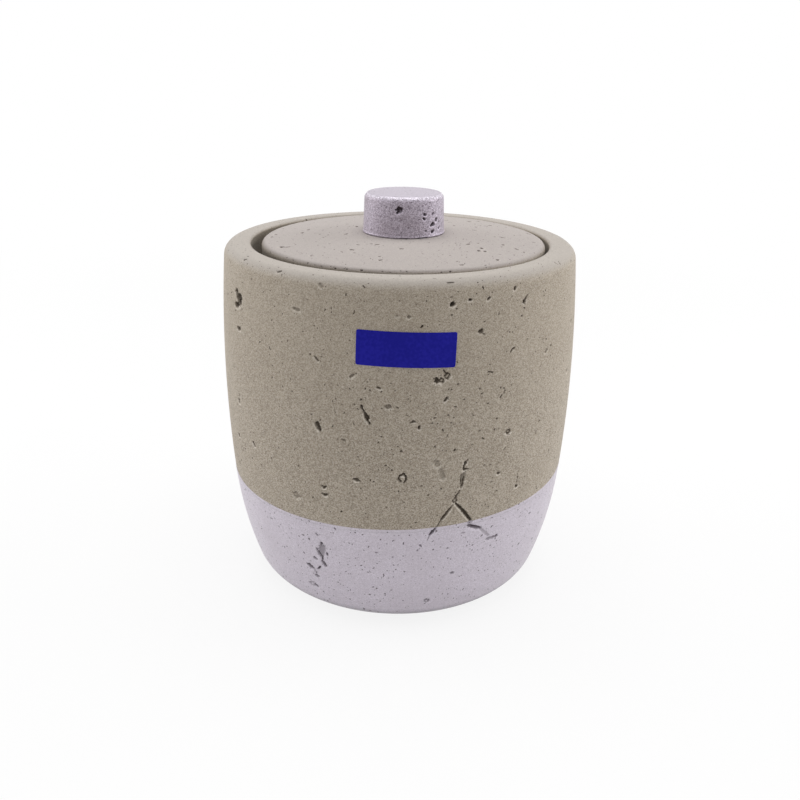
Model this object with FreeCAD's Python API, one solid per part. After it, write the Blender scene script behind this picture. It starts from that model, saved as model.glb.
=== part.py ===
"""Lidded concrete jar for cotton pads: cast body with a dipped paint band, loose lid and screwed-on knob.

Millimetres. The origin is the centre of the resting face, +Z is up and the label faces -Y.
Each piece is a solid of its own, made by its own function and written to parts/NAME.step.
"""
import FreeCAD, Part
import math
import os
from FreeCAD import Vector

# Jar: outer form
body_diameter = 98.0        # at the widest height
rim_height = 95.0           # from the table to the top of the rim
widest_height = 60.5        # from the table to where the wall stands upright
wall_bow_radius = 370.0     # long arc of the bowed wall
lower_wall_height = 30.0    # from the table to where the wall starts to draw in
lower_wall_radius = 105.0   # arc of the wall below that height
base_arc_radius = 7.0       # arc from the wall into the base
shoulder_radius = 3.0       # arc from the wall into the rim

# Jar: mouth and hollow
rim_width = 8.5             # from the widest radius in to the mouth
mouth_edge_radius = 0.8     # round on the inner edge of the rim
ledge_depth = 9.2           # from the rim down to the ledge under the lid
ledge_width = 5.4           # from the mouth in to the hollow
hollow_draft = 1.5          # radius that the hollow loses on its way down
hollow_corner_radius = 9.0  # round between the hollow's wall and floor
floor_thickness = 8.0       # concrete under the hollow

# Paint band
paint_height = 32.5         # from the table to the edge of the paint, on the jar's axis
paint_tilt = 1.7            # degrees that the edge of the paint rises to the right
coat_thickness = 0.2

# Pad under the base
pad_thickness = 1.5
pad_stand = 0.5             # pad left standing out of its recess, under the base
pad_margin = 6.0            # from the edge of the base's flat in to the recess
pad_gap = 0.3               # round the pad in its recess

# Label
label_width = 23.0
label_height = 8.3
label_thickness = 0.12
label_glue = 0.05           # film of glue between the wall and the label
label_corner_radius = 0.5
label_drop = 15.6           # from the rim down to the label's centre
label_bearing = 2.2         # degrees to the right of the front
label_tilt = 1.6            # degrees that the label's right end hangs down

# Lid
lid_gap = 1.9               # between the lid's edge and the mouth, all round when centred
lid_near_gap = 0.4          # least gap left on the right, where the loose lid has slid to
lid_edge_radius = 1.5
lid_crown_radius = 360.0    # dome of the lid's top
seat_stand = 2.0            # knob seat above the rim
seat_margin = 0.6           # flat seat beyond the foot of the knob
spigot_gap = 1.3            # between the lid's spigot and the hollow, all round when centred
spigot_depth = 5.2          # below the lid's flange
spigot_chamfer = 0.8

# Seal ring round the spigot
seal_thickness = 1.2
seal_margin = 1.0           # from the lid's edge in to the ring
seal_gap = 0.3              # round the spigot

# Knob
knob_foot_radius = 11.1
knob_taper = 0.4            # radius lost from foot to top
knob_height = 10.8
knob_edge_radius = 1.0
knob_joint_chamfer = 0.3    # groove of the joint line at the foot

# Fixing of the knob: screw, washer and threaded insert
screw_radius = 2.0
screw_head_radius = 4.0
screw_head_height = 2.6
screw_head_round = 1.0
screw_slot_width = 1.0
screw_slot_length = 4.4
screw_slot_depth = 1.3
thread_engagement = 4.9     # screw thread inside the insert
thread_gap = 0.05           # between the screw and the insert
hole_gap = 0.25             # round the screw in the lid
washer_radius = 4.5
washer_thickness = 0.8
washer_gap = 0.15           # round the screw in the washer
counterbore_gap = 1.5       # round the washer in the lid
lid_web = 8.3               # lid left between the washer and the knob seat
insert_wall = 0.9
insert_spare = 1.1          # insert beyond the end of the screw
insert_gap = 0.05           # round the insert in the knob
knob_hole_spare = 0.6       # knob hole beyond the end of the insert

up = Vector(0, 0, 1)
axis_point = Vector(0, 0, 0)


def at(radius, height):
    """A point of a half section, in the XZ plane."""
    return Vector(radius, 0, height)


def line(start, end):
    return Part.LineSegment(start, end).toShape()


def arc(centre, radius, start_angle, end_angle):
    """An arc of a half section about a centre, with its angles in radians from the radial direction."""
    points = []
    for angle in (start_angle, (start_angle + end_angle) / 2, end_angle):
        points.append(at(centre.x + radius * math.cos(angle), centre.z + radius * math.sin(angle)))
    return Part.Arc(*points).toShape()


def ends(edges):
    """First and last point of a run of edges."""
    return edges[0].firstVertex(True).Point, edges[-1].lastVertex(True).Point


def revolved(edges):
    """A solid turned from a half section whose edges run in order and close on themselves."""
    return Part.Face(Part.Wire(edges)).revolve(axis_point, up, 360)


def run(corners):
    """Straight edges from corner to corner."""
    return [line(start, end) for start, end in zip(corners, corners[1:])]


def tube(outer_radius, inner_radius, low, high):
    corners = [at(inner_radius, low), at(outer_radius, low), at(outer_radius, high), at(inner_radius, high)]
    return revolved(run(corners + corners[:1]))


def inside_tangent_height(big_centre, big_radius, small_radius, small_centre_radius):
    """Height above a big arc's centre at which a small arc touches that arc from inside."""
    return math.sqrt((big_radius - small_radius) ** 2 - (small_centre_radius - big_centre.x) ** 2)


def inside_tangent_radius(big_centre, big_radius, small_radius, small_centre_height):
    """Distance from the axis at which a small arc touches a big arc from inside."""
    reach = math.sqrt((big_radius - small_radius) ** 2 - (small_centre_height - big_centre.z) ** 2)
    return big_centre.x + reach


def direction(start, end):
    return math.atan2(end.z - start.z, end.x - start.x)


# Places worked out from the sizes above
body_radius = body_diameter / 2
base_height = pad_stand
mouth_radius = body_radius - rim_width
ledge_height = rim_height - ledge_depth
hollow_radius = mouth_radius - ledge_width
floor_height = base_height + floor_thickness

lid_radius = mouth_radius - lid_gap
flange_height = ledge_height + seal_thickness
spigot_radius = hollow_radius - spigot_gap
spigot_height = flange_height - spigot_depth
lid_shift = min(lid_gap, spigot_gap) - lid_near_gap
seat_height = rim_height + seat_stand
seat_radius = knob_foot_radius + seat_margin
washer_height = seat_height - lid_web - washer_thickness
hole_radius = screw_radius + hole_gap
counterbore_radius = washer_radius + counterbore_gap
insert_bore = screw_radius + thread_gap
insert_radius = insert_bore + insert_wall
insert_length = thread_engagement + insert_spare

wall_centre = at(body_radius - wall_bow_radius, widest_height)
lower_join = math.asin((lower_wall_height - widest_height) / wall_bow_radius)
lower_reach = wall_bow_radius - lower_wall_radius
lower_centre = at(
    wall_centre.x + lower_reach * math.cos(lower_join),
    wall_centre.z + lower_reach * math.sin(lower_join),
)
base_centre_height = base_height + base_arc_radius
base_centre = at(
    inside_tangent_radius(lower_centre, lower_wall_radius, base_arc_radius, base_centre_height),
    base_centre_height,
)
shoulder_centre_height = rim_height - shoulder_radius
shoulder_centre = at(
    inside_tangent_radius(wall_centre, wall_bow_radius, shoulder_radius, shoulder_centre_height),
    shoulder_centre_height,
)
base_join = direction(lower_centre, base_centre)
shoulder_join = direction(wall_centre, shoulder_centre)
pad_recess_radius = base_centre.x - pad_margin
pad_radius = pad_recess_radius - pad_gap


def outer_edges(inset):
    """The jar's outer profile from the base's flat to the rim, moved in by inset about the same centres."""
    return [
        line(at(0, base_height + inset), at(base_centre.x, base_height + inset)),
        arc(base_centre, base_arc_radius - inset, -math.pi / 2, base_join),
        arc(lower_centre, lower_wall_radius - inset, base_join, lower_join),
        arc(wall_centre, wall_bow_radius - inset, lower_join, shoulder_join),
        arc(shoulder_centre, shoulder_radius - inset, shoulder_join, math.pi / 2),
    ]


def outer_solid(inset):
    """The jar as if it were not hollow, with its skin moved in by inset, or out if inset is negative."""
    edges = outer_edges(inset)
    start, end = ends(edges)
    top = at(0, end.z)
    return revolved(edges + [line(end, top), line(top, start)])


def below_paint_line():
    """Everything up to the edge of the paint, which was dipped a little askew."""
    depth = body_diameter + paint_height
    block = Part.makeCylinder(body_diameter, depth, at(0, paint_height - depth))
    block.rotate(at(0, paint_height), Vector(0, 1, 0), -paint_tilt)
    return block


def pad_recess_solid():
    """The recess for the pad, from the table up to the pad's upper face."""
    return Part.makeCylinder(pad_recess_radius, pad_thickness)


def make_base_coat():
    """Paint film: the skin between the jar's outer form and that form moved in by the film's thickness."""
    film = outer_solid(0).cut(outer_solid(coat_thickness)).common(below_paint_line())
    return film.cut(pad_recess_solid())


def make_jar_body(base_coat):
    """Cast body in one section: outer form, rim, mouth with its ledge and the drafted hollow."""
    edges = outer_edges(0)
    start, shoulder_end = ends(edges)
    mouth_edge_centre = at(mouth_radius + mouth_edge_radius, rim_height - mouth_edge_radius)
    rim_inner = at(mouth_edge_centre.x, rim_height)
    mouth_top = at(mouth_radius, mouth_edge_centre.z)
    ledge_outer = at(mouth_radius, ledge_height)
    ledge_inner = at(hollow_radius, ledge_height)
    hollow_foot_radius = hollow_radius - hollow_draft
    corner_centre = at(hollow_foot_radius - hollow_corner_radius, floor_height + hollow_corner_radius)
    corner_top = at(hollow_foot_radius, corner_centre.z)
    corner_end = at(corner_centre.x, floor_height)
    floor_middle = at(0, floor_height)
    edges += [
        line(shoulder_end, rim_inner),
        arc(mouth_edge_centre, mouth_edge_radius, math.pi / 2, math.pi),
        line(mouth_top, ledge_outer),
        line(ledge_outer, ledge_inner),
        line(ledge_inner, corner_top),
        arc(corner_centre, hollow_corner_radius, 0, -math.pi / 2),
        line(corner_end, floor_middle),
        line(floor_middle, start),
    ]
    return revolved(edges).cut(base_coat).cut(pad_recess_solid())


def make_base_pad():
    """Soft disc in the recess of the base. Its underside is what the jar stands on."""
    return Part.makeCylinder(pad_radius, pad_thickness)


def make_label():
    """Sticker that follows the bowed wall: a thin skin of the wall inside a round-cornered outline."""
    skin = outer_solid(-label_glue - label_thickness).cut(outer_solid(-label_glue))
    half_width = label_width / 2
    half_height = label_height / 2
    front_corner = Vector(-half_width, -body_diameter, -half_height)
    outline = Part.makeBox(label_width, body_diameter, label_height, front_corner)
    depth_edges = [edge for edge in outline.Edges if edge.BoundBox.YLength > body_radius]
    outline = outline.makeFillet(label_corner_radius, depth_edges)
    outline.rotate(axis_point, Vector(0, 1, 0), label_tilt)
    outline.rotate(axis_point, up, label_bearing)
    outline.translate(at(0, rim_height - label_drop))
    return skin.common(outline)


def make_lid():
    """Cast lid about its own axis: crowned top, rounded edge, flange, spigot and the screw's hole."""
    crown_centre = at(0, seat_height - math.sqrt(lid_crown_radius ** 2 - seat_radius ** 2))
    edge_centre_radius = lid_radius - lid_edge_radius
    edge_rise = inside_tangent_height(crown_centre, lid_crown_radius, lid_edge_radius, edge_centre_radius)
    edge_centre = at(edge_centre_radius, crown_centre.z + edge_rise)
    seat_edge = at(seat_radius, seat_height)
    seat_angle = direction(crown_centre, seat_edge)
    edge_join = direction(crown_centre, edge_centre)
    corners = [
        at(lid_radius, edge_centre.z),
        at(lid_radius, flange_height),
        at(spigot_radius, flange_height),
        at(spigot_radius, spigot_height + spigot_chamfer),
        at(spigot_radius - spigot_chamfer, spigot_height),
        at(counterbore_radius, spigot_height),
        at(counterbore_radius, seat_height - lid_web),
        at(hole_radius, seat_height - lid_web),
        at(hole_radius, seat_height),
        seat_edge,
    ]
    edges = [
        arc(crown_centre, lid_crown_radius, seat_angle, edge_join),
        arc(edge_centre, lid_edge_radius, edge_join, 0),
    ]
    edges += run(corners)
    return revolved(edges)


def make_lid_seal_ring():
    return tube(lid_radius - seal_margin, spigot_radius + seal_gap, ledge_height, flange_height)


def make_knob():
    """Tapered knob with a rounded top edge, a joint groove at its foot and a blind hole for the insert."""
    top_height = seat_height + knob_height
    hole_end = seat_height + insert_length + knob_hole_spare
    knob_hole_radius = insert_radius + insert_gap
    lean = math.atan2(knob_taper, knob_height)
    side_length = knob_height - knob_edge_radius
    side_radius = knob_foot_radius - side_length * math.tan(lean)
    round_centre = at(side_radius - knob_edge_radius / math.cos(lean), seat_height + side_length)
    round_edge = arc(round_centre, knob_edge_radius, lean, math.pi / 2)
    side_top, round_top = ends([round_edge])
    groove_top = seat_height + knob_joint_chamfer
    corners = [
        round_top,
        at(0, top_height),
        at(0, hole_end),
        at(knob_hole_radius, hole_end),
        at(knob_hole_radius, seat_height),
        at(knob_foot_radius - knob_joint_chamfer, seat_height),
        at(knob_foot_radius - knob_joint_chamfer * math.tan(lean), groove_top),
        side_top,
    ]
    return revolved([round_edge] + run(corners))


def make_knob_insert():
    return tube(insert_radius, insert_bore, seat_height, seat_height + insert_length)


def make_knob_washer():
    return tube(washer_radius, screw_radius + washer_gap, washer_height, washer_height + washer_thickness)


def make_knob_screw():
    """Pan-head screw from below: rounded head under the washer, shank up into the insert, cross slots."""
    head_height = washer_height - screw_head_height
    end_height = seat_height + thread_engagement
    round_centre = at(screw_head_radius - screw_head_round, head_height + screw_head_round)
    corners = [
        at(screw_head_radius, round_centre.z),
        at(screw_head_radius, washer_height),
        at(screw_radius, washer_height),
        at(screw_radius, end_height),
        at(0, end_height),
        at(0, head_height),
        at(round_centre.x, head_height),
    ]
    edges = [arc(round_centre, screw_head_round, -math.pi / 2, 0)]
    edges += run(corners)
    screw = revolved(edges)
    for slot_x, slot_y in ((screw_slot_length, screw_slot_width), (screw_slot_width, screw_slot_length)):
        corner = Vector(-slot_x / 2, -slot_y / 2, head_height)
        screw = screw.cut(Part.makeBox(slot_x, slot_y, screw_slot_depth, corner))
    return screw


def main():
    base_coat = make_base_coat()
    jar = {
        "jar_body": make_jar_body(base_coat),
        "base_coat": base_coat,
        "base_pad": make_base_pad(),
        "label": make_label(),
    }
    lid_group = {
        "lid": make_lid(),
        "lid_seal_ring": make_lid_seal_ring(),
        "knob": make_knob(),
        "knob_insert": make_knob_insert(),
        "knob_washer": make_knob_washer(),
        "knob_screw": make_knob_screw(),
    }
    for shape in lid_group.values():
        shape.translate(Vector(lid_shift, 0, 0))
    os.makedirs("parts", exist_ok=True)
    for name, shape in {**jar, **lid_group}.items():
        shape.exportStep(f"parts/{name}.step")
        box = shape.optimalBoundingBox()
        print(f"{name}: {len(shape.Solids)} solid, valid {shape.isValid()}, {shape.Volume / 1000:.2f} cm3,"
              f" z {box.ZMin:.2f} to {box.ZMax:.2f}, r up to {max(box.XMax, -box.XMin):.2f}")


main()
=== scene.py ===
# %% [markdown]
# # A concrete jar for cotton pads
#
# The object is a round jar of cast concrete with a loose lid, a painted knob and a lilac metallic band
# dipped round its lower third. A packed construction model already gives every piece its place and its
# size. This lesson loads that model as a fixed frame and dresses it: the castings get their pits, chips
# and crack as real geometry, and every surface gets a finish made of shader nodes.

# %% Load the frame
import math
from collections import namedtuple

import bpy
import numpy as np
from mathutils import Matrix, Vector


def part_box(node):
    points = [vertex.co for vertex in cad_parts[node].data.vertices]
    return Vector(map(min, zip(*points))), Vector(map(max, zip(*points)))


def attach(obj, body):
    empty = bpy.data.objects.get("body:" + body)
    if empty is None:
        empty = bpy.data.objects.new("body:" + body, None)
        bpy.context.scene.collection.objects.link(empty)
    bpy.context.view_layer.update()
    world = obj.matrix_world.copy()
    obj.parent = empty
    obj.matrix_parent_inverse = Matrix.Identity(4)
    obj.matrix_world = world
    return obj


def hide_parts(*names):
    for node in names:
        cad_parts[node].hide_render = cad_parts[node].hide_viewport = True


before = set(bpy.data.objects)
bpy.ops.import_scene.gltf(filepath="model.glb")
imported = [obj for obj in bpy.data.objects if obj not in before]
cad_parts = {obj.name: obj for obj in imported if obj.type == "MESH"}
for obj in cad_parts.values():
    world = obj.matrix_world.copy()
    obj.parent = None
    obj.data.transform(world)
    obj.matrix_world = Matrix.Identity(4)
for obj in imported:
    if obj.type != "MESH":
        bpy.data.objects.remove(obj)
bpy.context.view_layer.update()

MM = 0.001
scene = bpy.context.scene

# %% [markdown]
# ## The camera
#
# The camera stands where the photograph was taken: in front of the jar, a little above the knob, looking
# down on it. A camera could be aimed with a constraint, but a matrix says exactly what is meant: tip the
# camera up from looking straight down, then roll it by less than a degree. The shift moves the picture on
# the sensor, because the lens axis doesn't meet the middle of the square picture.

# %% Camera
PICTURE = 800                       # pixels along each side of the picture
FOCAL_PIXELS = 796.6                # distance from lens to picture, in pixels
AXIS_PIXEL = (400.0, 352.0)         # where the lens axis meets the picture
SENSOR = 36.0
camera_place = Vector((0.41, -217.37, 138.64)) * MM
camera_tilt = math.radians(19.47)
camera_roll = math.radians(0.86)
camera_near = 10 * MM

camera_data = bpy.data.cameras.new("photo_camera")
camera_data.sensor_width = SENSOR
camera_data.lens = SENSOR * FOCAL_PIXELS / PICTURE
camera_data.shift_x = (PICTURE / 2 - AXIS_PIXEL[0]) / PICTURE
camera_data.shift_y = (AXIS_PIXEL[1] - PICTURE / 2) / PICTURE
camera_data.clip_start = camera_near
camera = bpy.data.objects.new("photo_camera", camera_data)
scene.collection.objects.link(camera)
camera_turn = Matrix.Rotation(math.pi / 2 - camera_tilt, 4, "X") @ Matrix.Rotation(camera_roll, 4, "Z")
camera.matrix_world = Matrix.Translation(camera_place) @ camera_turn
scene.camera = camera
print("camera: lens %.1f mm, shift %.3f" % (camera_data.lens, camera_data.shift_y))

# %% [markdown]
# ## Outlines
#
# Every casting here is round, so each one is an outline of radius and height carried round an axis. An
# outline is made of straight runs and arcs, sampled finely. Three things are worth knowing at any place of
# it: how far along the outline it lies, where it is, and which way is out of the material. If outlines
# always run up the outside and inwards over the top, then out is a quarter turn to the right.

# %% Straight runs, arcs and outlines
OUTLINE_STEP = 0.1 * MM
SAME_PLACE = OUTLINE_STEP / 1000


def straight(start, end):
    """Points on a line: the start plus an even share of the way to the end."""
    start, end = np.array(start, float), np.array(end, float)
    count = 2 + int(np.linalg.norm(end - start) / OUTLINE_STEP)
    return start + np.linspace(0, 1, count)[:, None] * (end - start)


def bend(centre, radius, start, end):
    """Points on an arc: the centre plus the radius times cosine and sine of an angle that turns evenly."""
    count = 2 + int(abs(end - start) * radius / OUTLINE_STEP)
    angle = np.linspace(start, end, count)
    return np.array(centre) + radius * np.column_stack([np.cos(angle), np.sin(angle)])


def run_lengths(points):
    """Distances between neighbouring points."""
    return np.linalg.norm(np.diff(points, axis=0), axis=1)


def trace(*stretches):
    """Join stretches of (radius, height) points into one outline.

    The way along it is the running sum of the steps between points. The outward direction is the slope
    turned a quarter turn to the right. The ends are the ways at which the stretches end.
    """
    points = np.concatenate(stretches)
    top_tone = np.append(True, run_lengths(points) > SAME_PLACE)
    points = points[top_tone]
    way = np.append(0.0, np.cumsum(run_lengths(points)))
    slope = np.gradient(points, way, axis=0)
    slope /= np.linalg.norm(slope, axis=1)[:, None]
    ends = np.cumsum([run_lengths(stretch).sum() for stretch in stretches])
    return {"way": way, "place": points, "out": np.column_stack([slope[:, 1], -slope[:, 0]]), "ends": ends}


def on_outline(outline, way, what):
    """Look up places or outward directions at some ways, between the outline's own points."""
    columns = [np.interp(way, outline["way"], outline[what][:, side]) for side in range(2)]
    return columns[0], columns[1]


print("points on a half circle of 1 mm:", len(bend((0, 0), MM, 0, math.pi)))

# %% [markdown]
# ## The outline of the jar
#
# The big sizes are read from the frame, and the radii repeat those of the construction. The wall is part of
# a very large arc that draws in more quickly low down, and it rolls into the base and the rim with small
# arcs. The centre of such a rolled corner lies where both arcs share a tangent: on a circle about the larger
# arc's centre whose radius is the difference of the two radii.

# %% Sizes of the jar
jar_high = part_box("jar_body")[1]
pad_low, pad_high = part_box("base_pad")
body_radius = jar_high.x
rim_height = jar_high.z
base_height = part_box("base_coat")[0].z
paint_height = 32.5 * MM
paint_tilt = math.radians(1.7)
widest_height = 60.5 * MM
wall_bow_radius = 370 * MM
lower_wall_height = 30 * MM
lower_wall_radius = 105 * MM
base_arc_radius = 7 * MM
shoulder_radius = 3 * MM
mouth_radius = body_radius - 8.5 * MM
mouth_edge_radius = 0.8 * MM
ledge_height = rim_height - 9.2 * MM
hollow_radius = mouth_radius - 5.4 * MM
hollow_foot_radius = hollow_radius - 1.5 * MM
hollow_corner_radius = 9 * MM
floor_height = base_height + 8 * MM
pad_gap = 0.3 * MM
recess_radius = pad_high.x + pad_gap
corner_ease = 0.5 * MM


def rolled_centre(centre, large_radius, radius, height):
    """Centre of a corner arc that touches a larger arc from inside, at a given height."""
    rise = height - centre[1]
    return centre[0] + math.sqrt((large_radius - radius) ** 2 - rise ** 2), height


def towards(start, end):
    """Direction from one centre to another, which is where the two arcs meet."""
    return math.atan2(end[1] - start[1], end[0] - start[0])


wall_centre = (body_radius - wall_bow_radius, widest_height)
lower_join = math.asin((lower_wall_height - widest_height) / wall_bow_radius)
paint_angle = math.asin((paint_height - widest_height) / wall_bow_radius)
lower_reach = wall_bow_radius - lower_wall_radius
lower_centre = (
    wall_centre[0] + lower_reach * math.cos(lower_join),
    wall_centre[1] + lower_reach * math.sin(lower_join),
)
base_centre = rolled_centre(lower_centre, lower_wall_radius, base_arc_radius, base_height + base_arc_radius)
base_join = towards(lower_centre, base_centre)
shoulder_centre = rolled_centre(wall_centre, wall_bow_radius, shoulder_radius, rim_height - shoulder_radius)
shoulder_join = towards(wall_centre, shoulder_centre)
mouth_edge_centre = (mouth_radius + mouth_edge_radius, rim_height - mouth_edge_radius)
print("jar: %.1f mm across, rim at %.1f mm" % (2 * body_radius / MM, rim_height / MM))

# %% Outline of the jar
QUARTER = math.pi / 2
skin = trace(
    straight((recess_radius, base_height), (base_centre[0], base_height)),
    bend(base_centre, base_arc_radius, -QUARTER, base_join),
    bend(lower_centre, lower_wall_radius, base_join, lower_join),
    bend(wall_centre, wall_bow_radius, lower_join, paint_angle),
    bend(wall_centre, wall_bow_radius, paint_angle, shoulder_join),
    bend(shoulder_centre, shoulder_radius, shoulder_join, QUARTER),
    straight((shoulder_centre[0], rim_height), (mouth_edge_centre[0], rim_height)),
    bend(mouth_edge_centre, mouth_edge_radius, QUARTER, 2 * QUARTER),
    straight((mouth_radius, mouth_edge_centre[1]), (mouth_radius, ledge_height + corner_ease)),
)
foot_way, base_way, _, paint_way, wall_way, shoulder_way, rim_way, edge_way, mouth_way = skin["ends"]
paint_radius = on_outline(skin, paint_way, "place")[0]
print("jar outline: %.1f mm long, paint line at %.1f mm" % (mouth_way / MM, paint_way / MM))

# %% [markdown]
# ## From a pixel to a place on the jar
#
# The castings live from their flaws: slanted slits where air was trapped, round blow holes, a branching
# crack that runs across the paint line. They could be a random texture, but these ones are the face of this
# jar, so each is listed by the pixel at its middle. To put a mark on the surface, a ray goes from
# the lens through the pixel. It walks forward by its distance to the outline, which can never carry it
# through the wall, until it has arrived.

# %% Rays through pixels
RAY_STEPS = 90
ARRIVED = OUTLINE_STEP


def cast(pixels, outline, axis_x=0.0):
    """Bearing and way at which rays through pixels meet a round surface.

    The bearing is the angle about the axis, from the front towards the right. A ray that just passes the
    surface counts where it came nearest.
    """
    pixels = np.asarray(pixels, float)
    across = (pixels[:, 0] - AXIS_PIXEL[0]) / FOCAL_PIXELS
    up = (AXIS_PIXEL[1] - pixels[:, 1]) / FOCAL_PIXELS
    rays = np.column_stack([across, up, -np.ones(len(pixels))]) @ np.array(camera_turn.to_3x3()).T
    rays /= np.linalg.norm(rays, axis=1)[:, None]
    reach = np.zeros(len(pixels))
    best = np.full(len(pixels), np.inf)
    found = np.zeros((len(pixels), 2))
    for _ in range(RAY_STEPS):
        x, y, z = (np.array(camera_place) + reach[:, None] * rays).T
        flat = np.column_stack([np.hypot(x - axis_x, y), z])
        gaps = np.linalg.norm(flat[:, None, :] - outline["place"][None, :, :], axis=2)
        nearest = gaps.argmin(axis=1)
        gap = gaps.min(axis=1)
        here = np.column_stack([np.arctan2(x - axis_x, -y), outline["way"][nearest]])
        found = np.where((gap < best)[:, None], here, found)
        best = np.minimum(best, gap)
        reach += np.where(best > ARRIVED, gap, 0)
    return found


axis_bearing = cast([AXIS_PIXEL], skin)[0, 0]
print("the lens axis meets the wall at a bearing of %.1f degrees" % math.degrees(axis_bearing))

# %% [markdown]
# ## Strokes
#
# Pits, slits and cracks look different, but one form serves them all: a stroke from a start to an end, with a
# width at each end and a depth. A pit is a single stroke about its own middle, and as short as it is wide it
# is round. A run of a crack is a chain of strokes through several pixels, which share their widths where
# they meet. Some blow holes kept a grain in their middle, and for them a stroke can hold an island.

# %% Strokes
Stroke = namedtuple("Stroke", "bearing way radius start end start_width end_width depth island")


def pit(bearing, way, radius, length, width, turn, depth, island=0.0):
    """A stroke of a given length about its own middle. Sizes are in millimetres, the turn is in degrees."""
    half = max(length - width, 0) / 2 * MM
    lean = half * np.array([math.cos(math.radians(turn)), math.sin(math.radians(turn))])
    return Stroke(bearing, way, radius, -lean, lean, width * MM, width * MM, depth * MM, island)


def pits_from_pixels(marks, outline, axis_x=0.0):
    """Strokes for marks of pixel x, pixel y, length, width, turn, depth and, on a ring, its island."""
    places = cast([mark[:2] for mark in marks], outline, axis_x)
    radii = on_outline(outline, places[:, 1], "place")[0]
    return [pit(*place, radius, *mark[2:]) for place, radius, mark in zip(places, radii, marks)]


def crack_from_pixels(points, depth, outline):
    """Strokes along one run of a crack, through points of pixel x, pixel y and width in millimetres."""
    places = cast([point[:2] for point in points], outline)
    radius = on_outline(outline, places[0, 1], "place")[0]
    flat = np.column_stack([(places[:, 0] - places[0, 0]) * radius, places[:, 1] - places[0, 1]])
    widths = [point[2] * MM for point in points]
    pairs = zip(flat[:-1], flat[1:], widths[:-1], widths[1:])
    return [Stroke(*places[0], radius, *pair, depth * MM, 0.0) for pair in pairs]


print("a stroke holds:", ", ".join(Stroke._fields))

# %% [markdown]
# ## Marks on the wall
#
# Each mark is a row of pixel x, pixel y, length and width in millimetres, turn in degrees and depth in
# millimetres. A shallow one is shaded less, so two very shallow ones make a smudge. The smallest marks are
# dots of one form, so only their pixels are listed. Marks that bend or taper, such as the long slit and the
# open curl, are runs like those of a crack: a depth, and points of pixel x, pixel y and width.

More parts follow.
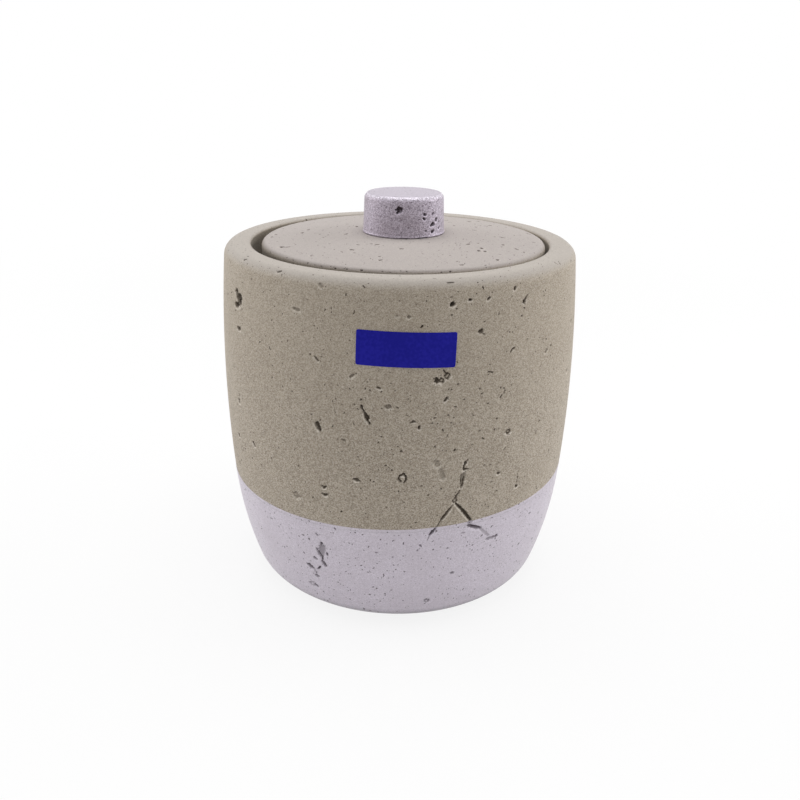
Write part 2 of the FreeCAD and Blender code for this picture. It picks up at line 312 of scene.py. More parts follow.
# %% Marks on the wall
RING = 0.9
WALL_MARKS = [
    # upper left
    (236.9, 294, 3.2, 1.6, -60, 0.9), (239.2, 299.6, 3.4, 2.5, 80, 0.8), (236.3, 304.6, 2.2, 1.6, 0, 0.8),
    (235.5, 310.5, 0.7, 0.4, 0, 0.3), (241.6, 309.2, 0.5, 0.4, 0, 0.3), (238.7, 328.6, 2.0, 1.05, 0, 0.9),
    (296, 308.9, 2.2, 0.8, -10, 0.2), (320.5, 285.4, 1.5, 0.8, -45, 0.16),
    (316.3, 358.9, 1.6, 0.55, -45, 0.3), (310.1, 354.5, 0.5, 0.4, 0, 0.3),
    (321.3, 356.8, 0.35, 0.35, 0, 0.3), (244.7, 259.5, 1.2, 0.6, 30, 0.25),
    (279.3, 271.3, 1.4, 0.6, 30, 0.25),
    # upper right
    (452.9, 304.2, 1.35, 1.1, 35, 1.0), (451.6, 297, 0.5, 0.35, 0, 0.25),
    (456.7, 308.6, 0.4, 0.3, 0, 0.3), (452.1, 315.1, 0.45, 0.4, 0, 0.4),
    (470.3, 299.9, 0.9, 0.6, 20, 0.6), (488.9, 298.4, 1.1, 0.6, 50, 0.6),
    (515.2, 288.4, 1.1, 0.6, 60, 0.6), (522, 316, 0.6, 0.4, 0, 0.4), (512.3, 296.3, 0.35, 0.3, 0, 0.3),
    (481, 331.2, 1.4, 1.0, 35, 0.4), (483.5, 333.5, 1.0, 0.4, -40, 0.25),
    (546.5, 350.6, 1.5, 0.8, 40, 0.2), (551.1, 345.2, 0.6, 0.4, 0, 0.4),
    (499.1, 313.4, 0.8, 0.3, 85, 0.25), (571.3, 321, 1.2, 0.8, 80, 0.45), (567, 370.5, 1.3, 0.9, 75, 0.5),
    (566, 416, 1.4, 0.8, 80, 0.5), (450.4, 282.3, 1.6, 0.35, 0, 0.3),
    # round the label
    (409, 317, 0.9, 0.7, 30, 0.22), (397, 316, 0.8, 0.6, 0, 0.15), (422, 326.6, 0.8, 0.45, 45, 0.5),
    (436.8, 380.5, 1.5, 1.0, 80, 0.7), (441.6, 380.8, 1.4, 1.3, 0, 0.7, RING),
    (447.4, 376.2, 1.7, 1.3, 60, 0.7, RING), (444.8, 371.6, 1.2, 0.4, -60, 0.4),
    (490, 372, 1.3, 0.3, -10, 0.35), (492.7, 372.5, 0.45, 0.4, 0, 0.5),
    (500.8, 387.7, 0.6, 0.45, -40, 0.5), (503.9, 388.3, 0.5, 0.4, 0, 0.4),
    (504.6, 391.5, 1.3, 0.3, 75, 0.3), (501.3, 396, 1.0, 0.4, 50, 0.5),
    (446.2, 399.5, 1.5, 0.55, 52, 0.7), (508.2, 431.6, 1.5, 1.4, 0, 0.7, RING),
    (352, 376, 1.5, 0.7, 40, 0.24), (378.4, 388, 1.2, 0.55, -22, 0.36), (381.4, 391.8, 0.4, 0.4, 0, 0.5),
    (361, 399.9, 0.6, 0.35, 40, 0.4), (354.4, 404.6, 0.35, 0.35, 0, 0.3),
    # the long slit and its neighbours
    (361.3, 406, 0.6, 0.5, 0, 0.6), (388.2, 406.5, 1.6, 1.2, 0, 0.25),
    (397.4, 407.6, 0.8, 0.35, -30, 0.3), (419.2, 428, 1.0, 0.6, 85, 0.8), (381, 436.9, 0.5, 0.4, 0, 0.35),
    (343.3, 440, 1.2, 0.5, -15, 0.25), (536, 432.2, 1.0, 0.3, 80, 0.4), (539.1, 421.3, 0.5, 0.4, 0, 0.3),
    (548.6, 450.9, 0.9, 0.4, 75, 0.4), (554.6, 458.2, 0.6, 0.4, 0, 0.3),
    (454.8, 450.2, 0.9, 0.4, 60, 0.5),
    # lower wall
    (400.2, 480.6, 1.1, 0.45, -45, 0.4), (296, 494.5, 2.0, 2.0, 0, 0.2, RING),
    (498.4, 473.4, 0.9, 0.8, 0, 0.6), (516.4, 486, 0.9, 0.9, 0, 0.7), (517.3, 479.5, 2.0, 0.3, 85, 0.4),
    (253.6, 444.1, 1.8, 0.7, -50, 0.6), (239.1, 435.1, 1.2, 0.9, 80, 0.4), (239, 401, 1.6, 0.9, -60, 0.6),
    (454.8, 500.6, 1.5, 1.2, 90, 0.5, RING), (437, 463.5, 2.2, 1.5, -60, 0.15),
    (442.2, 474, 3.4, 1.2, -75, 0.15),
]
DOT_PIXELS = [
    (473.5, 415.6), (448.5, 415.3), (496.8, 418.4), (451.4, 423), (432.2, 423.3), (434.5, 417.9),
    (482.4, 393.5), (464.3, 399.5), (480.4, 388.6), (488.1, 403.5), (458.3, 384.3), (494.7, 429.6),
    (479.5, 431), (434.9, 446.8), (311.3, 414.5), (385.7, 465.4), (391.8, 470.3), (373.6, 481.9),
    (299.7, 496.5), (313, 497.4), (496.5, 490.9), (271.1, 458.2), (261.4, 465), (298.5, 465.9),
    (490.5, 464.7), (484.7, 465.3), (491.4, 481.9), (468.2, 487), (441, 488.9), (421.3, 486),
    (428.3, 495.3),
]
DOT_FORM = (0.45, 0.38, 20, 0.4)
WALL_RUNS = [
    (0.45, [(398.3, 479.4, 0.4), (399.6, 476, 0.5), (403.4, 474.3, 0.75), (406, 477, 0.5),
            (406.1, 480.2, 0.5), (404, 483, 0.3)]),
    (0.6, [(528.2, 294.2, 0.2), (526, 298, 0.5), (524.6, 301, 1.0), (525.2, 303.4, 0.4)]),
    (0.4, [(510.9, 352.2, 0.4), (512.2, 349.4, 0.6), (515, 347.8, 0.4)]),
    (0.55, [(360.8, 406.2, 0.5), (364, 412.1, 0.35), (366.8, 417.7, 1.3), (367.3, 420.9, 0.6),
            (369.6, 423.9, 0.5)]),
    (0.4, [(317, 424.2, 1.4), (318.6, 428, 1.3), (320, 431.4, 0.5)]),
    (0.35, [(410.3, 422.8, 0.25), (413.5, 421.5, 0.7), (416.3, 422.4, 0.25)]),
    (0.6, [(353.7, 479.2, 0.5), (356.5, 480, 1.0), (360.2, 481.3, 0.25)]),
    (0.5, [(321.2, 485, 0.25), (323.8, 487.3, 0.8), (326.6, 486.3, 0.25)]),
    (0.5, [(321.5, 493.4, 0.25), (325.1, 494.9, 0.85), (328.1, 494.3, 0.25)]),
]
wall_strokes = pits_from_pixels(WALL_MARKS + [pixel + DOT_FORM for pixel in DOT_PIXELS], skin)
wall_strokes += [stroke for depth, run in WALL_RUNS for stroke in crack_from_pixels(run, depth, skin)]
print("wall:", len(wall_strokes), "strokes")

# %% [markdown]
# ## Marks on the painted band
#
# The paint filled most pinholes, but it broke off in one place at the left, over a shallow chip with a swarm
# of deep little pits below it. The band curves away under the jar there, so the camera sees these marks
# shortened, and their sizes are larger than they look.

# %% Marks on the painted band
BAND_MARKS = [
    (316.4, 534.2, 1.0, 0.35, -40, 0.35), (319.6, 534.8, 0.4, 0.3, 0, 0.25),
    (320.9, 544, 1.2, 0.8, 60, 0.6), (321.5, 551, 4.6, 2.0, 75, 0.24), (319, 553, 3.4, 0.5, -65, 0.6),
    (322.4, 558.5, 1.6, 0.5, 85, 0.6), (326.9, 554.5, 1.3, 0.5, -80, 0.5),
    (324, 564, 2.3, 1.1, -62, 0.65), (315.1, 558.5, 1.4, 0.8, -35, 0.6),
    (318.9, 568.1, 1.9, 0.5, 52, 0.6), (310.3, 566, 2.4, 1.3, -30, 0.4),
    (314.4, 569.5, 1.3, 0.45, -75, 0.5), (316.8, 576, 1.2, 1.1, 0, 0.7),
    (316.2, 572.8, 1.3, 0.3, -80, 0.3), (309.8, 582.4, 0.9, 0.5, 0, 0.3),
    (316.3, 585.5, 1.5, 1.1, -20, 0.55), (313, 584, 2.4, 1.8, 0, 0.2, RING),
    (334.7, 528.8, 0.9, 0.35, -60, 0.4), (426.5, 601, 1.6, 1.6, 0, 0.3, RING),
    (452, 573, 1.2, 0.9, 0, 0.35), (447.4, 548.2, 0.5, 0.4, 0, 0.4), (271.6, 518.8, 0.7, 0.5, 0, 0.5),
    (529.4, 513.4, 0.6, 0.5, 90, 0.4), (463.3, 532.8, 1.2, 0.4, 0, 0.2), (376, 552.7, 0.6, 0.4, 0, 0.3),
    (392.5, 557.5, 0.5, 0.4, 0, 0.3), (391.3, 590.3, 0.5, 0.4, 0, 0.3),
    (420.4, 545.6, 0.75, 0.6, -30, 0.5), (417.6, 550.7, 0.5, 0.4, 80, 0.5),
]
band_strokes = pits_from_pixels(BAND_MARKS, skin)
print("band:", len(band_strokes), "strokes")

# %% [markdown]
# ## The crack
#
# A crack branches over the lower wall and runs on into the paint. It is not one line: it opens and closes, so
# each run has its own depth, and its width changes from point to point. The shallow runs are flat scars where
# only the skin came off.

# %% The crack that crosses the paint line
CRACK_RUNS = [
    (0.6, [(468.3, 459, 0.15), (465.6, 462.6, 0.8), (464, 466.4, 0.35), (464.2, 469.6, 0.75),
           (468.6, 468.9, 0.2)]),
    (0.2, [(464, 473.8, 0.9), (462.6, 480, 1.1), (461, 486.8, 0.8)]),
    (0.4, [(463.9, 477, 0.3), (462.2, 486, 0.45)]),
    (0.4, [(461.4, 474.5, 0.2), (460.6, 484, 0.3)]),
    (0.45, [(460, 490.4, 0.35), (455.3, 497.8, 0.5)]),
    (0.6, [(456, 503.7, 0.5), (461, 508.5, 0.85), (466.5, 515, 1.0), (470.4, 520, 0.7)]),
    (0.2, [(470.2, 521.2, 1.3), (468.8, 525.6, 1.1)]),
    (0.5, [(468.9, 525.7, 0.9), (474, 527.1, 1.3), (480.4, 528.2, 0.8)]),
    (0.15, [(481.6, 529.6, 0.9), (488, 535.4, 0.9)]),
    (0.25, [(487.2, 539, 1.1), (494, 537.2, 1.1)]),
    (0.5, [(494.4, 537, 0.7), (496.2, 536, 1.0)]),
    (0.45, [(452.8, 504.8, 0.15), (449.2, 510, 0.65), (442.6, 518.2, 0.75), (440.8, 520.4, 0.35)]),
    (0.35, [(440.8, 520.4, 0.3), (436, 528, 0.2)]),
    (0.8, [(435.5, 528.4, 0.45), (432.6, 531.8, 0.95), (430, 534.7, 0.6)]),
    (0.3, [(430, 534.7, 0.3), (427.2, 540.8, 0.15)]),
]
crack_strokes = [stroke for depth, run in CRACK_RUNS for stroke in crack_from_pixels(run, depth, skin)]
print("crack:", len(crack_strokes), "strokes")

# %% [markdown]
# ## Marks on the sides that the photograph doesn't show
#
# The back of a casting is as flawed as its front. A seeded generator scatters strokes over it, so that the
# jar looks the same on every run. Most are small, and a few are large, so a random share is cubed. Wider pits
# are deeper, up to a limit.

# %% Scattered marks
GRAIN_SEED = 41
PIT_SHORTEST = 0.4                  # millimetres, as are the depths
PIT_SLIMNESS = (0.35, 0.85)         # width as a share of length
PIT_TURNS = (-80, 80)               # degrees
PIT_SHALLOWEST = 0.25
PIT_DEEPENS = 0.4                   # depth gained with the width
PIT_DEEPEST = 0.8
scatter = np.random.default_rng(GRAIN_SEED)


def scattered(count, bearings, ways, outline, largest):
    """Pits at random bearings and ways. Length is the shortest plus a cubed random share of the largest."""
    bearing = scatter.uniform(*bearings, count)
    way = scatter.uniform(*ways, count)
    length = PIT_SHORTEST + largest * scatter.uniform(0, 1, count) ** 3
    width = length * scatter.uniform(*PIT_SLIMNESS, count)
    turn = scatter.uniform(*PIT_TURNS, count)
    depth = np.minimum(PIT_SHALLOWEST + PIT_DEEPENS * width, PIT_DEEPEST)
    radius = on_outline(outline, way, "place")[0]
    rows = zip(bearing, way, radius, length, width, turn, depth)
    return [pit(*row) for row in rows]


def round_the_back(degrees):
    """Bearings from some degrees on the right, round the back, to as many on the left."""
    return math.radians(degrees), 2 * math.pi - math.radians(degrees)


JAR_HIDDEN_FROM = 64
line_margin = 1 * MM
wall_back_pits = 95
band_back_pits = 34
jar_back = round_the_back(JAR_HIDDEN_FROM)
wall_strokes += scattered(wall_back_pits, jar_back, (paint_way + line_margin, wall_way), skin, largest=2.2)
band_strokes += scattered(band_back_pits, jar_back, (base_way, paint_way - line_margin), skin, largest=2.0)
print("with the back:", len(wall_strokes), "on the wall,", len(band_strokes), "on the band")

# %% [markdown]
# ## Sinking the marks
#
# A mark sinks the surface inwards. Its depth at a point depends on how far the point is from the stroke,
# compared with the stroke's width there, so the first thing to work out is the nearest place on a stroke. A
# fast wave makes the edges ragged, as broken sand is. It is made of sines bent by other sines, which is
# enough to hide that it repeats.

# %% Distance from a stroke
MARK_REACH = 1.6                    # a ragged edge reaches this many half widths from the stroke
# The pale lip beside a wide stroke is a painted highlight on a small real rise.
LIP_FROM = 0.5 * MM                 # strokes wider than this have a pale lip
LIP_WIDTH = 0.19 * MM
NO_LENGTH = MM ** 4                 # keeps a stroke without length from dividing by zero
WAVES_ACROSS = (5.3, 4.6, 12.7)     # radians per millimetre
WAVES_UP = (3.9, 6.7, 11.3)
WAVE_BENDS = (1.9, 2.1, 2.0)
WAVE_START = 1.3
WAVE_SHARES = (0.4, 0.4, 0.2)


def smooth(low, high, value):
    """Zero below low, one above high, and 3t squared minus 2t cubed between them."""
    share = np.clip((value - low) / (high - low), 0, 1)
    return share * share * (3 - 2 * share)


def from_stroke(bearing, way, stroke):
    """Offsets across and up of points from the nearest place on a stroke, and that place's share of it."""
    turn = np.mod(bearing - stroke.bearing + math.pi, 2 * math.pi) - math.pi
    across = turn * stroke.radius - stroke.start[0]
    up = way - stroke.way - stroke.start[1]
    run = stroke.end - stroke.start
    length_squared = max(float(run @ run), NO_LENGTH)
    share = np.clip((across * run[0] + up * run[1]) / length_squared, 0, 1)
    return across - share * run[0], up - share * run[1], share


def reach_of(stroke):
    """Half the stroke's greatest width with its ragged edge, and on wide strokes the lip beyond it."""
    width = max(stroke.start_width, stroke.end_width)
    return MARK_REACH * width / 2 + (LIP_WIDTH if width > LIP_FROM else 0)


def ragged(bearing, way):
    """A wave between -1 and 1: sines of the two surface lengths, each bent by the other."""
    across = bearing * body_radius / MM
    up = way / MM
    first = np.sin(WAVES_ACROSS[0] * across + WAVE_BENDS[0] * np.sin(WAVES_UP[0] * up))
    second = np.sin(WAVES_UP[1] * up + WAVE_BENDS[1] * np.sin(WAVES_ACROSS[1] * across) + WAVE_START)
    third = np.sin(WAVES_ACROSS[2] * across - WAVES_UP[2] * up + WAVE_BENDS[2] * first)
    return sum(share * wave for share, wave in zip(WAVE_SHARES, (first, second, third)))


print("reach of the widest wall stroke: %.2f mm" % (max(map(reach_of, wall_strokes)) / MM))

# %% [markdown]
# ## Depth and shade of a mark
#
# Across a stroke the surface has a floor in the middle, steep walls, and nothing outside. A painted shade is
# kept for the colour. Light falls from above, so it is darkest in the upper half of a pit, and a shallow pit
# is shaded less than a deep one. The lower edge of a pit stands up as a small lip, where nothing else is
# sunk, and it gets a pale painted highlight. In the shade, numbers above zero are painted shade and numbers
# below zero are painted highlight.

# %% Depth and shade of the marks
PIT_FLOOR = 0.5                     # shares of the half width, as are the next four
PIT_EDGE = 1.12
SHADE_FLOOR = 0.76
ISLAND_FLOOR = 0.3
ISLAND_EDGE = 0.62
RAGGED = 0.32
UPPER_SIDE = (-0.9, 0.4)            # from the lower to the upper side, in half widths
LIP_SIDE = (-0.9, 0.1)
LOWER_SHADE = 0.6                   # what is left of the shade on the lower side
FULL_SHADE = 0.4 * MM               # pits as deep as this are fully dark
LIP_MIDDLE = 0.16 * MM
LIP_RISE = 0.01 * MM
LIP_CLEAR = 0.12 * MM               # lips end where the surface is sunk this far


def sink(bearing, way, strokes):
    """Depth and shade at points: the deepest stroke over a point counts, and lips rise beside strokes."""
    depth = np.zeros_like(bearing)
    dark = np.zeros_like(bearing)
    lip = np.zeros_like(bearing)
    for stroke in strokes:
        across, up, share = from_stroke(bearing, way, stroke)
        near = np.flatnonzero(np.hypot(across, up) < reach_of(stroke))
        across, up, share = across[near], up[near], share[near]
        half = (stroke.start_width + share * (stroke.end_width - stroke.start_width)) / 2
        rim = np.hypot(across, up) / half * (1 + RAGGED * ragged(bearing[near], way[near]))
        middle = stroke.island * (1 - smooth(ISLAND_FLOOR, ISLAND_EDGE, rim))
        hole = (1 - smooth(PIT_FLOOR, PIT_EDGE, rim)) * (1 - middle)
        depth[near] = np.maximum(depth[near], stroke.depth * hole)
        full = min(1, stroke.depth / FULL_SHADE)
        shade = (1 - smooth(SHADE_FLOOR, PIT_EDGE, rim)) * (1 - middle)
        upper = LOWER_SHADE + (1 - LOWER_SHADE) * smooth(*UPPER_SIDE, up / half)
        dark[near] = np.maximum(dark[near], full * shade * upper)
        # The lip is a small real rise, and its paleness is a painted highlight, kept below zero in the shade.
        beyond = (rim - PIT_EDGE) * half - LIP_MIDDLE
        lower = (1 - smooth(*LIP_SIDE, up / half)) * (half > LIP_FROM / 2)
        edge = np.exp(-(beyond / LIP_WIDTH) ** 2) * lower
        lip[near] = np.maximum(lip[near], math.sqrt(full) * edge)
    lip *= 1 - smooth(0, LIP_CLEAR, depth)
    return depth - LIP_RISE * lip, dark - lip


first_pit = wall_strokes[0]
first_depth = sink(np.array([first_pit.bearing]), np.array([first_pit.way]), wall_strokes)[0][0]
print("depth at the middle of the first pit: %.2f mm" % (first_depth / MM))

# %% [markdown]
# ## A grid that is fine only where it has to be
#
# A pit half a millimetre wide needs a finer grid than a wall as tall as a hand, and splitting every cell
# would make millions of faces. So only the cells that a stroke touches are split, five by five. First the
# distance from each cell's middle to each stroke tells which ones these are. The layout is a bend that a
# piece may put on its ways, and a plain piece has none.

# %% Cells that a stroke touches
SPLIT = 5                           # small cells along each side of a split one


def as_laid(bearing, way):
    """The plain layout of a piece: every way stays where it is."""
    return way


def touched_cells(bearings, ways, outline, strokes, layout):
    """Which cells of a grid lie within reach of a stroke, to half a cell's diagonal."""
    bearing, way = np.meshgrid((bearings[:-1] + bearings[1:]) / 2, (ways[:-1] + ways[1:]) / 2)
    half_across = on_outline(outline, way, "place")[0] * (bearings[1] - bearings[0]) / 2
    half_diagonal = np.hypot(half_across, np.diff(ways)[:, None] / 2)
    touched = np.zeros(bearing.shape, bool)
    for stroke in strokes:
        across, up, _ = from_stroke(bearing, layout(bearing, way), stroke)
        touched |= np.hypot(across, up) < reach_of(stroke) + half_diagonal
    return touched


print("a split cell becomes", SPLIT ** 2, "small ones")

# %% [markdown]
# ## Faces of the grid
#
# The points are numbered on a lattice of the fine steps, of which few are used. A whole cell beside a split
# one takes the extra points of the shared side into its own outline, as a face with more corners, so no gap
# opens between them. There are sixteen ways in which the four neighbours of a cell can be split or whole, and
# each way gives one block of faces with equal corner counts, so whole arrays do the work.

# %% Grid with split cells
def whole_cell_faces(index, split, closed):
    """Faces of the cells that are not split, sorted by which of their four neighbours are split."""
    below, above = np.roll(split, 1, axis=0), np.roll(split, -1, axis=0)
    if not closed:
        below[0] = False
        above[-1] = False
    after, before = np.roll(split, -1, axis=1), np.roll(split, 1, axis=1)
    fine_rows, fine_columns = index.shape
    faces = []
    for kind in np.ndindex(2, 2, 2, 2):
        same = (below == kind[0]) & (after == kind[1]) & (above == kind[2]) & (before == kind[3])
        row, column = (SPLIT * part[:, None] for part in np.nonzero(same & ~split))
        low, right, high, left = (np.arange(SPLIT) if side else np.zeros(1, int) for side in kind)
        sides = [
            (row, column + low), (row + right, column + SPLIT),
            (row + SPLIT, column + SPLIT - high), (row + SPLIT - left, column),
        ]
        faces.append(np.column_stack([index[a % fine_rows, b % fine_columns] for a, b in sides]))
    return [block for block in faces if len(block)]


def split_grid(rows, columns, split, closed):
    """Lattice rows and columns of the points of a grid with split cells, and its blocks of faces."""
    fine_rows = SPLIT * (rows if closed else rows - 1) + (0 if closed else 1)
    fine_columns = SPLIT * columns
    row, column = (SPLIT * part[:, None, None] for part in np.nonzero(split))
    steps = np.arange(SPLIT + 1)
    inner = ((row + steps[:, None]) % fine_rows, (column + steps) % fine_columns)
    used = np.zeros((fine_rows, fine_columns), bool)
    used[::SPLIT, ::SPLIT] = True
    used[inner] = True
    index = np.full(used.shape, -1)
    index[used] = np.arange(used.sum())
    cell = index[inner]
    small = np.stack([cell[:, :-1, :-1], cell[:, :-1, 1:], cell[:, 1:, 1:], cell[:, 1:, :-1]], axis=-1)
    return np.nonzero(used), [small.reshape(-1, 4)] + whole_cell_faces(index, split, closed)


one_split = np.eye(1, SPLIT, dtype=bool)
one_split_faces = split_grid(2, SPLIT, one_split, closed=False)[1]
print("a ring of %d cells, one of them split: %d faces" % (SPLIT, sum(map(len, one_split_faces))))

# %% [markdown]
# ## From a grid to a mesh
#
# The points and the blocks of faces go into a mesh in a few whole arrays. Before that, the signed volume, one
# sixth of the sum of triple products, tells whether the faces look outwards; if it is negative, each face is
# turned round. Masks, with one value per point, become attributes that a material can read.

# %% Mesh helpers
TRIPLE_SHARE = 1 / 6


def turned(bearing, radius, height, axis_x=0.0):
    """Points of a round surface: x grows with the sine of the bearing, and y falls with its cosine."""
    x = axis_x + radius * np.sin(bearing)
    return np.stack([x, -radius * np.cos(bearing), height + 0 * bearing], axis=-1)


def outward(points, faces):
    """Turn all faces round if the solid's signed volume, fanned into triangles, is negative."""
    volume = 0.0
    for block in faces:
        corners = points[block]
        for last in range(2, block.shape[1]):
            cross = np.cross(corners[:, last - 1], corners[:, last])
            volume += np.einsum("ij,ij->", corners[:, 0], cross) * TRIPLE_SHARE
    return faces if volume > 0 else [block[:, ::-1] for block in faces]


def mesh_piece(name, points, faces, masks=None):
    """Put points, blocks of faces and one value per point for each mask into a mesh object at the origin."""
    faces = outward(points, faces)
    corners = np.concatenate([block.ravel() for block in faces]).astype(np.int32)
    counts = np.concatenate([np.full(len(block), block.shape[1]) for block in faces])
    mesh = bpy.data.meshes.new(name)
    mesh.vertices.add(len(points))
    mesh.vertices.foreach_set("co", points.astype(np.float32).ravel())
    mesh.loops.add(len(corners))
    mesh.loops.foreach_set("vertex_index", corners)
    mesh.polygons.add(len(counts))
    mesh.polygons.foreach_set("loop_start", np.append(0, np.cumsum(counts)[:-1]).astype(np.int32))
    mesh.update(calc_edges=True)
    mesh.validate()
    mesh.shade_smooth()
    for mask, values in (masks or {}).items():
        attribute = mesh.attributes.new(mask, "FLOAT", "POINT")
        attribute.data.foreach_set("value", values.astype(np.float32))
    piece = bpy.data.objects.new(name, mesh)
    scene.collection.objects.link(piece)
    print("%s: %d points, %d triangles" % (name, len(points), (counts - 2).sum()))
    return piece


# %% [markdown]
# ## Rows of a casting
#
# Where no mark can lie, as on the inside of the jar, a few rows of points are enough, so stretches of an
# outline are thinned there. Where marks lie, the rows are spaced by zones: close together round an edge, and
# wider apart on a plain wall.

# %% Rows of a casting
WAY_DIGITS = 9


def points_on(*stretches):
    """Rows of (radius, height) pairs from several stretches, thinned to a given count each."""
    picks = [points[np.linspace(0, len(points) - 1, count).astype(int)] for points, count in stretches]
    return [tuple(row) for row in np.concatenate(picks)]


def spaced(*zones):
    """Ways through zones of (start, end, spacing), each divided evenly, with shared ends kept once."""
    parts = [np.linspace(start, end, 1 + math.ceil((end - start) / step)) for start, end, step in zones]
    return np.unique(np.concatenate(parts).round(WAY_DIGITS))


print("rows on a millimetre at every tenth:", len(spaced((0, MM, OUTLINE_STEP))))

# %% [markdown]
# ## From an outline to a casting
#
# One function makes every casting. It takes plain rows of radius and height before and after the marked
# stretch of an outline, numbers the grid, looks up each point on the outline and sinks the marks along the
# outward direction. A darkening raises the shade without sinking anything: the painted shade of the mouth
# and of the lid's edge, and a darker line along the paint's bead. A casting without a hole through it ends
# in poles, which are closed by a fan of triangles.

# %% Round castings
HOLLOW = "hollow"
UPWARD = "upward"
NO_DARKENING = -1


def pole_fan(points, faces, ring, place):
    """Close a ring with triangles to one more point on the axis."""
    pole = np.full(len(ring), len(points))
    faces.append(np.column_stack([ring, np.roll(ring, -1), pole]))
    return np.vstack([points, place])


def round_piece(name, columns, before, after, outline=None, ways=(), strokes=(), axis_x=0.0, closed=False,
                poles=(), relief=None, darkening=None, layout=as_laid):
    """A round solid from plain rows before and after a marked stretch of an outline.

    Poles are the heights at which the first and the last row are closed on the axis. Two masks are kept for
    the
    finish: hollow, the painted shade of the marks and of darkenings, below zero a painted highlight on lips,
    and upward, the height of the outward direction.
    """
    rows = len(before) + len(ways) + len(after)
    first, last = len(before), len(before) + len(ways) - 1
    bearings = np.linspace(-math.pi, math.pi, columns + 1)
    split = np.zeros((rows if closed else rows - 1, columns), bool)
    if len(ways):
        split[first:last] = touched_cells(bearings, ways, outline, strokes, layout)
    (lattice_row, lattice_column), faces = split_grid(rows, columns, split, closed)
    row = lattice_row / SPLIT
    bearing = bearings[0] + lattice_column / SPLIT * (bearings[1] - bearings[0])
    blank = [(0.0, 0.0)] * len(ways)
    radius, height = np.array(list(before) + blank + list(after))[row.astype(int)].T
    hollow = np.zeros(len(row) + len(poles))
    upward = np.zeros(len(row) + len(poles))
    if len(ways):
        marked = np.flatnonzero((row >= first) & (row <= last))
        way = np.interp(row[marked], np.arange(first, last + 1), ways)
        laid = layout(bearing[marked], way)
        depth, hollow[marked] = sink(bearing[marked], laid, strokes)
        # A darkening is painted shade on the mouth and the lid's edge, and a darker line along the paint's
        # bead.
        if darkening is not None:
            darkenings = darkening(bearing[marked], way)
            hollow[marked] = np.maximum(hollow[marked], np.where(darkenings > 0, darkenings, NO_DARKENING))
        rise = -depth if relief is None else relief(way) - depth
        place, out = on_outline(outline, laid, "place"), on_outline(outline, laid, "out")
        radius[marked] = place[0] + rise * out[0]
        height[marked] = place[1] + rise * out[1]
        upward[marked] = out[1]
    points = turned(bearing, radius, height, axis_x)
    if poles:
        low_ring = np.flatnonzero(lattice_row == 0)
        high_ring = np.flatnonzero(lattice_row == lattice_row.max())
        upward[-1] = upward[high_ring[0]]
        points = pole_fan(points, faces, low_ring[::-1], (axis_x, 0, poles[0]))
        points = pole_fan(points, faces, high_ring, (axis_x, 0, poles[1]))
    return mesh_piece(name, points, faces, {HOLLOW: hollow, UPWARD: upward})


print("masks of a casting:", HOLLOW, UPWARD)

# %% [markdown]
# ## The hidden rows of the jar
#
# The jar is one casting: wall, rim, the ledge that carries the lid, and the hollow for the pads. Under the
# paint it steps back much more than real paint is thick, so that the pits in the band have room. It starts at
# a pole under the base, runs up inside the paint, over the wall and the rim, and ends at a pole in the middle
# of the hollow's floor. The rows behind the paint and inside the hollow have no marks.

# %% Hidden rows of the jar
skin_depth = 1.3 * MM
coat_foot = 0.2 * MM
behind_paint = points_on(
    (straight((recess_radius, base_height + coat_foot), (base_centre[0], base_height + skin_depth)), 2),
    (bend(base_centre, base_arc_radius - skin_depth, -QUARTER, base_join)[1:], 5),
    (bend(lower_centre, lower_wall_radius - skin_depth, base_join, lower_join)[1:], 4),
    (bend(wall_centre, wall_bow_radius - skin_depth, lower_join, paint_angle)[1:], 2),
)
corner_centre = (hollow_foot_radius - hollow_corner_radius, floor_height + hollow_corner_radius)
ledge_corner = (mouth_radius - corner_ease, ledge_height + corner_ease)
ledge_edge = (hollow_radius + corner_ease, ledge_height - corner_ease)
inside = points_on(
    (bend(ledge_corner, corner_ease, 0, -QUARTER)[1:], 4),
    (bend(ledge_edge, corner_ease, QUARTER, 2 * QUARTER), 5),
    (straight((hollow_radius, ledge_edge[1]), (hollow_foot_radius, corner_centre[1]))[1:], 10),
    (bend(corner_centre, hollow_corner_radius, 0, -QUARTER)[1:], 9),
    (straight((corner_centre[0], floor_height), (0, floor_height))[1:-1], 4),
)
print("jar: %d rows behind the paint, %d inside" % (len(behind_paint), len(inside)))

# %% [markdown]
# ## The jar
#
# The jar was dipped a little askew: its paint line rises with the sine of the bearing. So the rows near the
# line are lifted by that much, and the lift fades away from it. The mouth is darker than the rim, as it lies
# in shade, so a painted shade is laid on it, which keeps to the inner edge.

# %% Jar
COLUMNS = 310
askew_fade = 14 * MM


def askew(bearing, way):
    """Ways lifted with the slant of the paint line: all of it on the line, and less with the distance."""
    lift = math.tan(paint_tilt) * paint_radius * np.sin(bearing)
    return way + lift * (1 - smooth(0, askew_fade, abs(way - paint_way)))


jar_ways = spaced(
    (paint_way, paint_way + line_margin, 0.5 * MM),
    (paint_way + line_margin, wall_way, 0.7 * MM),
    (wall_way, shoulder_way, 0.5 * MM),
    (shoulder_way, rim_way, 0.7 * MM),
    (rim_way, edge_way, 0.22 * MM),
    (edge_way, mouth_way, 1.4 * MM),
)
# Painted shade on the inner wall of the mouth, which lies in shade below the rim.
mouth_shade = 0.4


def painted_mouth_shade(bearing, way):
    """Shade of the mouth: it grows round the inner edge, and stays inside it."""
    return mouth_shade * smooth((rim_way + edge_way) / 2, edge_way, way)


jar = round_piece(
    "jar_casting", COLUMNS, [(recess_radius, pad_high.z)] + behind_paint, inside, skin, jar_ways,
    wall_strokes + crack_strokes, poles=(pad_high.z, floor_height), darkening=painted_mouth_shade, layout=askew)
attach(jar, "jar")
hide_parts("jar_body")

